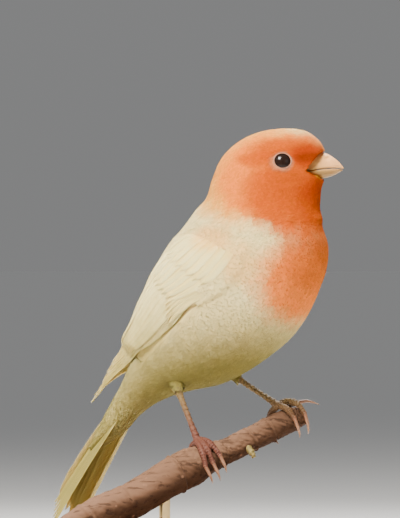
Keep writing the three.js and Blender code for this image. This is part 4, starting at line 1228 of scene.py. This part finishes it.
def addMandible(name, node, isUpper):
    s = bill
    stops = np.array(billStations, float)
    if isUpper:
        stops[-1, 0] += s["overhang"]
    lines = curveThrough(stops)(np.linspace(0, 1, s["steps"]))
    sign = 1 if isUpper else -1
    half = lines[:, 4]
    line = lines[:, 2] + sign * s["seam"]
    reach = np.maximum(np.abs(lines[:, 1 if isUpper else 3] - line), 0.3)
    arc = np.linspace(0, math.pi, s["sides"])
    chord = np.linspace(-1, 1, 12)[1:-1]
    leftRight = np.concatenate([np.cos(arc), chord])
    upDown = np.concatenate([np.sin(arc) ** 0.9, np.zeros(len(chord))])
    belly = np.concatenate([1 + 0.05 * np.sin(arc), np.ones(len(chord))])
    f = lines[:, :1] + np.zeros(len(leftRight))
    left = half[:, None] * leftRight * belly
    z = line[:, None] + sign * reach[:, None] * upDown
    tomium = np.where(upDown > 0.01, 0, 0.12) * sign
    points = np.stack([f, left, z + tomium], -1)
    if isUpper:
        nf, nz, radius, depth = s["nostril"]
        apart = np.hypot((f - nf) / 1.5, z - nz) / radius
        points[..., 1] -= np.sign(left) * depth * np.exp(-apart ** 4) * (upDown > 0.1)
    rings = placed(points, 0)
    thing = ringsToMesh(name, rings)
    dress(thing, billMaterial)
    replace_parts(thing, node)


def hornMaterial():
    s = bill
    material, tree, shader = newMaterial("billHorn", Roughness=0.42, Specular_IOR_Level=0.16)
    where = objectPlace(tree)
    forward, _, up = splitAxes(tree, where)
    stretched = addNode(tree, "Mapping", vector=where, Scale=(0.25, 1, 1)).outputs[0]
    grain = noiseOn(tree, stretched, 1400.0, 3.0)
    colour = blended(tree, ranged(tree, forward, *s["tipEdges"]), s["horn"], s["pale"])
    colour = blended(tree, ranged(tree, up, *s["lowEdges"], high=0.85), colour, s["olive"])
    colour = blended(tree, maths(tree, "MULTIPLY", grain, 0.25), colour, s["horn"])
    tree.links.new(colour, shader.inputs["Base Color"])
    addBump(tree, shader, grain, 0.25, 0.05 * mm)
    return material


billMaterial = hornMaterial()
addMandible("upperBill", "upper_bill", True)
addMandible("lowerBill", "lower_bill", False)


def eyeMaterials():
    ball = newMaterial("wetEye", Base_Color=(0.012, 0.006, 0.004, 1), Roughness=0.14, Specular_IOR_Level=0.16,
                       Coat_Weight=0.03, Coat_Roughness=0.03)[0]
    lid = grainedMaterial("lidSkin", 2600.0, 2.0, eyeSettings["skin"], 0.5, 0.08 * mm,
                          Roughness=0.6, Specular_IOR_Level=0.1)
    return ball, lid


def addEyes():
    s = eyeSettings
    ballMaterial, lidMaterial = eyeMaterials()
    reach = math.sqrt(s["radius"] ** 2 - s["lidRadius"] ** 2)
    for name, side in (("right", -1), ("left", 1)):
        at, outward = eyePlace(side)
        bpy.ops.mesh.primitive_uv_sphere_add(segments=64, ring_count=40, radius=s["radius"] * mm,
                                             location=tuple(at * mm))
        bpy.ops.object.shade_smooth()
        ball = settled("eyeball." + name)
        dress(ball, ballMaterial)
        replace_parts(ball, "eye_" + name)
        ball.select_set(False)
        turn = Vector((0, 0, 1)).rotation_difference(Vector(outward))
        bpy.ops.mesh.primitive_torus_add(
            major_segments=72, minor_segments=14, major_radius=s["lidRadius"] * mm,
            minor_radius=s["lidThickness"] * mm, location=tuple((at + outward * reach) * mm),
            rotation=turn.to_euler())
        bpy.ops.transform.resize(value=(s["lidStretch"], 1, 1), orient_type="GLOBAL")
        bpy.ops.object.shade_smooth()
        lid = settled("eyelid." + name)
        dress(lid, lidMaterial)
        lid.select_set(False)


addEyes()
print("bill and eyes made")

# The branch's middle line and its radius at each point
branchPoints = [
    (-37.1, -21.8, 20.5, 5.6),
    (-28.4, -18.3, 25.5, 5.6),
    (-19.7, -14.8, 29.7, 5.4),
    (-8.1, -10.1, 36.3, 5.5),
    (-2.3, -7.7, 39.2, 5.4),
    (2.9, -5.6, 41.8, 4.4),
    (9.3, -3.0, 44.1, 3.6),
    (15.1, -0.7, 47.1, 3.6),
    (20.9, 1.6, 49.9, 3.7),
    (26.0, 3.8, 52.1, 3.4),
    (30.2, 5.4, 53.8, 3.0),
]
branchLine = curveThrough([point[:3] for point in branchPoints])


# A radius at a share along, eased from each given one to the next
def radiiThrough(radii):
    given = np.array(radii, float)
    last = len(given) - 1

    def at(share):
        place = np.asarray(share, float) * last
        before = np.minimum(place.astype(int), last - 1)
        return given[before] + (given[before + 1] - given[before]) * smoothStep(0, 1, place - before)

    return at


branchRadius = radiiThrough([point[3] for point in branchPoints])


# A round tube along a line, with a ripple that depends on the share along and the angle round
def tubeRings(line, radiusAt, sides, steps, ripple=None):
    shares = np.linspace(0, 1, steps)
    middle = line(shares)
    along = unit(line(np.minimum(shares + 0.004, 1)) - line(np.maximum(shares - 0.004, 0)))
    across = []
    current = np.cross(along[0], (0, 0, 1) if abs(along[0][2]) < 0.9 else (0, 1, 0))
    for direction in along:
        current = current - direction * np.dot(current, direction)
        current = current / np.linalg.norm(current)
        across.append(current)
    across = np.array(across)
    up = np.cross(across, along)
    angle = np.linspace(0, 2 * math.pi, sides, endpoint=False)
    reach = radiusAt(shares)[:, None] + np.zeros(sides)
    if ripple is not None:
        reach = reach + ripple(shares[:, None], angle[None, :])
    return (middle[:, None] + across[:, None] * (np.cos(angle) * reach)[..., None]
            + up[:, None] * (np.sin(angle) * reach)[..., None])


branch = {
    "sides": 120,
    "steps": 440,
    "tilt": 28 * degree,
    "seed": 7,
    "waves": 7,
    "waveHeight": 0.28 / 3,
    "ridge": 0.10,
    "scars": [  # share along and height
        (0.07, 0.35), (0.19, 0.25), (0.33, 0.45), (0.555, 0.35), (0.70, 0.30), (0.795, 0.35), (0.945, 0.4),
    ],
    "brown": (0.075, 0.034, 0.016),
    "pale": (0.19, 0.10, 0.058),
    "dark": (0.014, 0.006, 0.003),
    "cutWood": (0.62, 0.47, 0.30),
    "cutRing": (0.42, 0.27, 0.15),
    "cutReach": 5.2,
    "bud": {"share": 0.66, "around": 100 * degree, "length": 3.6, "radii": (1.1, 0.95, 0.6)},
}


# The same draw of waves as on the drawing of the branch
def branchWaves():
    state = branch["seed"]
    waves = []
    for _ in range(branch["waves"]):
        drawn = []
        for _ in range(3):
            state = (state * 1664525 + 1013904223) % 4294967296
            drawn.append(state / 4294967296)
        waves.append((1 + math.floor(drawn[0] * 4), 4 + drawn[1] * 22, drawn[2] * 2 * math.pi))
    return waves


def branchRipple(share, angle):
    s = branch
    reach = sum(s["waveHeight"] * np.sin(turns * angle + along * share + phase)
                for turns, along, phase in branchWaves())
    warp = 0.8 * np.sin(11 * share + 2 * angle) + 0.5 * np.sin(37 * share - angle)
    ridges = np.abs(np.sin(5.5 * angle + warp + 3 * np.sin(23 * share)))
    reach = reach + s["ridge"] * (ridges - 0.6) * (0.6 + 0.4 * np.sin(61 * share + 3 * angle))
    reach = reach + 0.05 * np.sin(190 * share + 4 * np.sin(2 * angle)) * np.sin(7 * angle + 50 * share)
    for at, height in s["scars"]:
        tilt = 0.006 * np.sin(angle + 9 * at)
        reach = reach + height * np.exp(-((share - at + tilt) / 0.006) ** 2) * (0.7 + 0.3 * np.sin(3 * angle))
        reach = reach - 0.5 * height * np.exp(-((share - at - 0.012 + tilt) / 0.005) ** 2)
    return reach


def branchFrame(share):
    middle = branchLine(np.array(share))
    along = unit(branchLine(np.array(share + 0.002)) - branchLine(np.array(share - 0.002)))
    up = unit(np.array((0, 0, 1.0)) - along * along[2])
    near = np.cross(along, up)
    if near[1] > 0:
        near = -near
    at = share * (len(branchPoints) - 1)
    radius = float(np.interp(at, np.arange(len(branchPoints)), [point[3] for point in branchPoints]))
    return {"middle": middle, "along": along, "up": up, "near": near, "radius": radius}


def gripPlace(grip, stop):
    along, turned, height = stop
    reach = grip["radius"] + height
    return (grip["middle"] + grip["along"] * along + grip["up"] * reach * math.cos(turned * degree)
            + grip["near"] * reach * math.sin(turned * degree))


def barkMaterial():
    s = branch
    material, tree, shader = newMaterial("bark", Roughness=0.82, Specular_IOR_Level=0.08)
    where = objectPlace(tree)
    along = addNode(tree, "Mapping", vector=where, Scale=(0.35, 1.0, 1.0), Rotation=(0, -s["tilt"], 0))
    rough = noiseOn(tree, along.outputs[0], 700.0, 8.0, Roughness=0.7)
    patchy = noiseOn(tree, where, 160.0, 4.0)
    drawnOut = addNode(tree, "Mapping", vector=where, Scale=(0.14, 1.0, 0.8),
                       Rotation=(0, -s["tilt"], -22 * degree))
    crack = ranged(tree, noiseOn(tree, drawnOut.outputs[0], 900.0, 4.0, Roughness=0.6), 0.46, 0.36)
    spots = addNode(tree, "TexVoronoi", vector=where, Scale=330.0)
    pores = ranged(tree, spots.outputs["Distance"], 0.20, 0.08, high=0.55)
    # Painted light: the bark's UV map holds how far each point faces up, and the top of the branch is painted
    # paler, with its pale patches only there, as if lit from above
    upward = splitAxes(tree, addNode(tree, "UVMap", {"uv_map": "bark"}).outputs[0])[1]
    top = ranged(tree, upward, 0.35, 1.0, high=0.65)
    colour = blended(tree, rough, s["dark"], s["brown"])
    colour = blended(tree, maths(tree, "MULTIPLY", top, patchy), colour, s["pale"])
    colour = blended(tree, top, colour, s["pale"])
    colour = blended(tree, maths(tree, "MULTIPLY", crack, 0.6), colour, s["dark"])
    colour = blended(tree, pores, colour, s["pale"])
    tree.links.new(colour, shader.inputs["Base Color"])
    height = maths(tree, "SUBTRACT", rough, maths(tree, "MULTIPLY", crack, 0.5))
    addBump(tree, shader, height, 0.8, 0.35 * mm)
    return material


# Growth rings on a cut face or a turned block of wood, round one line
def woodMaterial(name, pale, dark, middle, axis, rings, roughness):
    material, tree, shader = newMaterial(name, Roughness=roughness)
    turned = addNode(tree, "Mapping", {"vector_type": "TEXTURE"}, objectPlace(tree),
                     Location=middle, Rotation=axis).outputs[0]
    x, y, _ = splitAxes(tree, turned)
    squares = maths(tree, "ADD", maths(tree, "POWER", x, 2.0), maths(tree, "POWER", y, 2.0))
    wobble = maths(tree, "MULTIPLY", noiseOn(tree, turned, 90.0, 3.0), 1.5 / rings)
    away = maths(tree, "ADD", maths(tree, "SQRT", squares), wobble)
    wave = maths(tree, "SINE", maths(tree, "MULTIPLY", away, rings * 2 * math.pi))
    band = maths(tree, "MULTIPLY_ADD", wave, 0.5, 0.5)
    long = addNode(tree, "Mapping", vector=turned, Scale=(1, 1, 0.06))
    fibre = noiseOn(tree, long.outputs[0], 900.0, 5.0)
    mixed = maths(tree, "MULTIPLY_ADD", fibre, 0.45, maths(tree, "MULTIPLY", band, 0.6))
    tree.links.new(blended(tree, mixed, dark, pale), shader.inputs["Base Color"])
    addBump(tree, shader, fibre, 0.15, 0.06 * mm)
    return material


def addBranch():
    s = branch
    rings = tubeRings(branchLine, branchRadius, s["sides"], s["steps"], branchRipple)
    perch = ringsToMesh("perchBranch", rings)
    dress(perch, barkMaterial())
    first, second = branchLine(np.array(0.0)), branchLine(np.array(0.01))
    aim = Vector(second - first).to_track_quat("Z", "Y").to_euler()
    cut = woodMaterial("cutFace", s["cutWood"], s["cutRing"], tuple(first * mm), tuple(aim), 1700.0, 0.7)
    perch.data.materials.append(cut)
    ends = [(Vector(first), Vector(first - second).normalized())]
    tip, beforeTip = branchLine(np.array(1.0)), branchLine(np.array(0.99))
    ends.append((Vector(tip), Vector(tip - beforeTip).normalized()))
    for face in perch.data.polygons:
        for middle, outward in ends:
            offset = face.center / mm - middle
            if offset.dot(outward) > -0.05 and offset.length < s["cutReach"]:
                face.material_index = 1
    count = len(perch.data.vertices)
    normals = np.empty(count * 3, np.float32)
    perch.data.vertices.foreach_get("normal", normals)
    upward = normals.reshape(-1, 3)[:, 2]
    # How far each point faces up, for the painted light on the top of the branch
    addMap(perch, "bark", np.stack([np.full(count, 0.5), upward * 0.5 + 0.5], -1))
    grip = branchFrame(s["bud"]["share"])
    turn = s["bud"]["around"]
    out = grip["near"] * math.sin(turn) + grip["up"] * math.cos(turn)
    start = grip["middle"] + out * (grip["radius"] - 1.4)
    end = grip["middle"] + out * (grip["radius"] + 0.9) - grip["up"] * s["bud"]["length"]
    line = curveThrough([start, (start + end) / 2 + out * 0.7, end])
    scale = radiiThrough(s["bud"]["radii"])

    def budRipple(along, angle):
        return 0.1 * np.sin(24 * along + 2 * np.sin(angle)) + 0.08 * np.sin(3 * angle)

    bud = ringsToMesh("perchBud", tubeRings(line, scale, 32, 60, budRipple))
    dress(bud, budMaterial())
    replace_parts(perch, "perch")


def budMaterial():
    return grainedMaterial("budScale", 800.0, 5.0, ((0.10, 0.06, 0.012), (0.26, 0.20, 0.05)), 0.6, 0.2 * mm,
                           Roughness=0.75)


addBranch()
print("perch made")

# Each foot: its share of the branch, pad height, ankle, knee, thigh radii, and its toes as stops of
# [along the branch, degrees round it from the top towards the viewer, height over the bark]
feet = {
    "right": {
        "share": 0.485, "pad": 1.35,
        "ankle": (-5.7, -2.8, 61.2), "knee": (-6.2, 5.6, 68.2), "thigh": (4.4, 1.75),
        "toes": {
            "outer": ([(-0.5, 4, 1.3), (-1.2, 36, 1.3), (-2.0, 70, 0.95), (-2.6, 100, 0.9)],
                      (-2.2, 145, 3.2)),
            "middle": ([(0.2, 4, 1.3), (0.2, 32, 1.4), (0.0, 68, 0.95), (-0.1, 100, 0.9)], (0.3, 146, 3.4)),
            "inner": ([(0.6, 2, 1.3), (1.5, 26, 1.2), (2.2, 58, 0.95), (2.7, 90, 0.9)], (2.8, 136, 2.6)),
            "back": ([(-0.2, 0, 1.1), (-0.9, -40, 1.1), (-1.4, -78, 0.95), (-1.6, -110, 0.9)],
                     (-1.6, -150, 2.8)),
        },
    },
    "left": {
        "share": 0.881, "pad": 2.1,
        "ankle": (11.4, 8.2, 64.6), "knee": (7.6, 9.6, 71.0), "thigh": (4.8, 1.7),
        "toes": {
            "inner": ([(0.0, 2, 2.0), (0.9, 30, 1.6), (1.5, 56, 1.0), (1.7, 80, 0.9)], (1.5, 142, 2.9)),
            "middle": ([(0.3, 0, 2.1), (2.6, 8, 2.3), (4.7, 38, 1.7), (5.2, 80, 0.9)], (4.4, 143, 2.9)),
            "outer": ([(0.3, -4, 2.0), (2.6, -22, 1.5), (5.0, -30, 0.95), (7.2, -26, 0.3)],
                      (12.4, -20, -2.6)),
            "back": ([(-0.4, 0, 1.9), (-1.6, -34, 1.2), (-2.4, -74, 0.95), (-2.8, -106, 0.9)],
                     (-2.9, -155, 2.6)),
        },
    },
}
legs = {
    "shankRadii": (1.2, 0.86, 0.84, 1.15),
    "toeRadii": (1.05, 0.97, 1.05, 0.78, 0.8),
    "padRadius": 1.3,
    "ankleRadius": 1.2,
    "shankScales": 12,
    "toeScales": 13,
    "scaleHeight": 0.22,
    "voxel": 0.11,
    "clawRadii": (0.60, 0.50, 0.33, 0.09),
    "clawArch": 0.85,
    "clawShares": (-0.12, 0.2, 0.45, 0.72, 1.0),
    "rose": (0.12, 0.042, 0.026),
    "tan": (0.19, 0.135, 0.045),
    "tanEdges": (48 * mm, 63 * mm),
    "crease": (0.07, 0.02, 0.011),
    "horn": (0.20, 0.085, 0.045),
    "hornTip": (0.34, 0.19, 0.11),
}
thigh = {
    "rows": 15,
    "around": 26,
    "span": 0.92,
    "past": 1.4,
    "above": 0.35,
    "rootDepth": 0.7,
    "lengths": (2.6, 3.4),
    "width": 0.24,
}


# Overlapping scales: each ring swells towards its lower edge and steps back
def scaleRipple(count, height):
    def ripple(share, angle):
        step = share * count
        saw = step - np.floor(step)
        front = 0.75 + 0.25 * np.cos(angle)
        return height * front * (saw ** 1.5 - 0.6) * smoothStep(0, 0.05, share)

    return ripple


def legMaterial():
    s = legs
    material, tree, shader = newMaterial("legSkin", Roughness=0.5, Specular_IOR_Level=0.18)
    where = objectPlace(tree)
    cells = addNode(tree, "TexVoronoi", {"feature": "DISTANCE_TO_EDGE"}, where, Scale=1500.0)
    crease = ranged(tree, cells.outputs["Distance"], 0.0, 0.12)
    upper = ranged(tree, splitAxes(tree, where)[2], *s["tanEdges"])
    noise = noiseOn(tree, where, 420.0, 4.0)
    colour = blended(tree, upper, s["rose"], s["tan"])
    colour = blended(tree, maths(tree, "MULTIPLY", noise, 0.5), colour, s["crease"])
    colour = blended(tree, maths(tree, "MULTIPLY_ADD", crease, 0.45, 0.55), s["crease"], colour)
    tree.links.new(colour, shader.inputs["Base Color"])
    addBump(tree, shader, crease, 0.6, 0.10 * mm)
    return material


def clawMaterial():
    s = legs
    material, tree, shader = newMaterial("clawHorn", Roughness=0.35, Specular_IOR_Level=0.2)
    along = addNode(tree, "Attribute", {"attribute_name": "along"})
    tree.links.new(blended(tree, along.outputs["Fac"], s["horn"], s["hornTip"]), shader.inputs["Base Color"])
    return material


legSkin = legMaterial()
clawHorn = clawMaterial()


def addFoot(side):
    foot = feet[side]
    s = legs
    grip = branchFrame(foot["share"])
    pad = gripPlace(grip, (0, 0, foot["pad"]))
    ankle = np.array(foot["ankle"])
    shank = curveThrough([ankle, ankle + (pad - ankle) * 0.2, ankle + (pad - ankle) * 0.6, pad])
    shankRipple = scaleRipple(s["shankScales"], s["scaleHeight"])
    toeRipple = scaleRipple(s["toeScales"], s["scaleHeight"])
    pieces = [ringsToMesh("shank", tubeRings(shank, radiiThrough(s["shankRadii"]), 40, 260, shankRipple))]
    for stops, claw in foot["toes"].values():
        toe = curveThrough([gripPlace(grip, stop) for stop in stops])
        pieces.append(ringsToMesh("toe", tubeRings(toe, radiiThrough(s["toeRadii"]), 32, 200, toeRipple)))
    for place, radius in ((pad, s["padRadius"]), (ankle, s["ankleRadius"])):
        bpy.ops.mesh.primitive_uv_sphere_add(segments=32, ring_count=20, radius=radius * mm,
                                             location=tuple(place * mm))
        bpy.ops.object.transform_apply(location=True, rotation=True, scale=True)
        pieces.append(bpy.context.object)
    bpy.ops.object.select_all(action="DESELECT")
    for piece in pieces:
        piece.select_set(True)
    bpy.context.view_layer.objects.active = pieces[0]
    bpy.ops.object.join()
    leg = bpy.context.object
    leg.name = "leg." + side
    remesh = leg.modifiers.new("fused", "REMESH")
    remesh.mode = "VOXEL"
    remesh.voxel_size = s["voxel"] * mm
    remesh.use_smooth_shade = True
    bpy.ops.object.modifier_apply(modifier=remesh.name)
    leg.data.materials.clear()
    dress(leg, legSkin)
    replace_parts(leg, "leg_" + side)
    leg.select_set(False)
    for name, (stops, tip) in foot["toes"].items():
        start, end = gripPlace(grip, stops[-1]), gripPlace(grip, tip)
        outward = (start + end) / 2 - grip["middle"]
        outward = unit(outward - grip["along"] * np.dot(outward, grip["along"]))
        line = curveThrough([
            start + (end - start) * share + outward * s["clawArch"] * math.sin(math.pi * max(share, 0))
            for share in s["clawShares"]])
        claw = ringsToMesh("claw." + side + "." + name, tubeRings(line, radiiThrough(s["clawRadii"]), 20, 40))
        points = np.array([v.co for v in claw.data.vertices]) / mm
        reach = np.clip(np.dot(points - start, end - start) / np.dot(end - start, end - start), 0, 1)
        addFact(claw, "along", "FLOAT", reach)
        dress(claw, clawHorn)
        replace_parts(claw, "claw_" + side + "_" + name)


# Small feathers round the top of each leg
def addThigh(side):
    foot = feet[side]
    ankle, knee = np.array(foot["ankle"]), np.array(foot["knee"])
    s = thigh
    end = ankle + unit(ankle - knee) * s["past"]
    start = knee + (knee - end) * s["above"]
    axis = unit(end - start)
    first = unit(np.cross(axis, (0, 0, 1.0)))
    second = np.cross(axis, first)
    whole = float(lengthOf(end - start)[0])
    top, bottom = foot["thigh"]
    t, turn = [], []
    for row in range(s["rows"]):
        around = s["around"] - row // 2
        for i in range(around):
            t.append(row / s["rows"] * s["span"] + chance.uniform(-0.02, 0.02))
            turn.append((i + 0.5 * (row % 2) + chance.uniform(-0.3, 0.3)) / around * 2 * math.pi)
    t, turn = np.array(t), np.array(turn)
    count = len(t)
    length = chance.uniform(*s["lengths"], count) * (1 - 0.35 * t)
    half = length * s["width"]

    def radiusAt(share):
        drawnIn = bottom * (1 - 0.45 * smoothStep(0.65, 1.2, share))
        return drawnIn + (top - bottom) * (1 - smoothStep(0.45, 0.95, share))

    def placeOf(share, sideways, lift):
        along = t[:, None] + share * (length / whole)[:, None]
        angle = turn[:, None] + sideways * (half / 2.2)[:, None]
        out = radiusAt(along) - s["rootDepth"] * (1 - np.clip(share, 0, 1)) ** 2 + lift * coat["liftShare"]
        spot = start + axis * (along * whole)[..., None]
        around = first * np.cos(angle)[..., None] + second * np.sin(angle)[..., None]
        return spot + around * out[..., None]

    zero = np.zeros((count, 1))
    roots = placeOf(zero, zero, zero)[:, 0]
    patches = np.stack([turn / (2 * math.pi) * 0.06, 0.94 + t * 0.05], -1)
    if side == "left":
        patches[:, 0] += 0.08
    tones = chance.uniform(0, 1, count)
    feathersMesh("thighFeathers." + side, count, placeOf, tones, roots, patches, downMaterial)
    line = curveThrough([start, (start + end) / 2, end])
    core = ringsToMesh("thighCore." + side, tubeRings(
        line, radiiThrough((bottom + 0.6, bottom - 0.5, 0.5)), 24, 24))
    addPlainFacts(core)
    dress(core, downMaterial)


for footSide in feet:
    addFoot(footSide)
    addThigh(footSide)
print("legs and claws made")

stand = {
    "radius": 48.0,
    "thickness": 10.0,
    "topEdge": 2.2,
    "footEdge": 0.6,
    "crease": 35 * degree,
    "grainMiddle": (0, 0.3, -0.02),
    "rod": {"radius": 1.6, "place": (-9.6, -10.7), "top": 33.0},
    "woodPale": (0.30, 0.155, 0.075),
    "woodDark": (0.11, 0.048, 0.022),
    "brass": (0.66, 0.47, 0.22),
}


def bevelRing(thing, height, offset, segments):
    bpy.ops.object.mode_set(mode="EDIT")
    bpy.ops.mesh.select_mode(type="EDGE")
    bpy.ops.mesh.select_all(action="DESELECT")
    bpy.ops.object.mode_set(mode="OBJECT")
    points = thing.data.vertices
    for edge in thing.data.edges:
        edge.select = all(abs(points[i].co.z - height * mm) < 1e-6 for i in edge.vertices)
    bpy.ops.object.mode_set(mode="EDIT")
    bpy.ops.mesh.bevel(offset=offset * mm, segments=segments, affect="EDGES")
    bpy.ops.object.mode_set(mode="OBJECT")


def addStand():
    s = stand
    bpy.ops.object.select_all(action="DESELECT")
    bpy.ops.mesh.primitive_cylinder_add(vertices=180, radius=s["radius"] * mm, depth=s["thickness"] * mm,
                                        location=(0, 0, s["thickness"] / 2 * mm))
    base = settled("standBase")
    bevelRing(base, s["thickness"], s["topEdge"], 8)
    bevelRing(base, 0, s["footEdge"], 3)
    bpy.ops.object.shade_smooth_by_angle(angle=s["crease"])
    wood = woodMaterial("oiledWood", s["woodPale"], s["woodDark"], s["grainMiddle"], (0, 90 * degree, 0),
                        190.0, 0.38)
    dress(base, wood)
    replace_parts(base, "stand_base")
    bpy.ops.object.select_all(action="DESELECT")
    rod = s["rod"]
    height = rod["top"] - s["thickness"]
    x, y = rod["place"]
    bpy.ops.mesh.primitive_cylinder_add(vertices=48, radius=rod["radius"] * mm, depth=height * mm,
                                        location=(x * mm, y * mm, (s["thickness"] + height / 2) * mm))
    pole = settled("standRod")
    bpy.ops.object.shade_smooth_by_angle(angle=s["crease"])
    brass, tree, shader = newMaterial("agedBrass", Base_Color=(*s["brass"], 1), Metallic=1.0)
    tarnish = noiseOn(tree, objectPlace(tree), 300.0, 4.0)
    tree.links.new(maths(tree, "MULTIPLY_ADD", tarnish, 0.25, 0.22), shader.inputs["Roughness"])
    dress(pole, brass)
    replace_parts(pole, "stand_rod")
    pole.select_set(False)


addStand()
print("stand made")

print("scene finished")
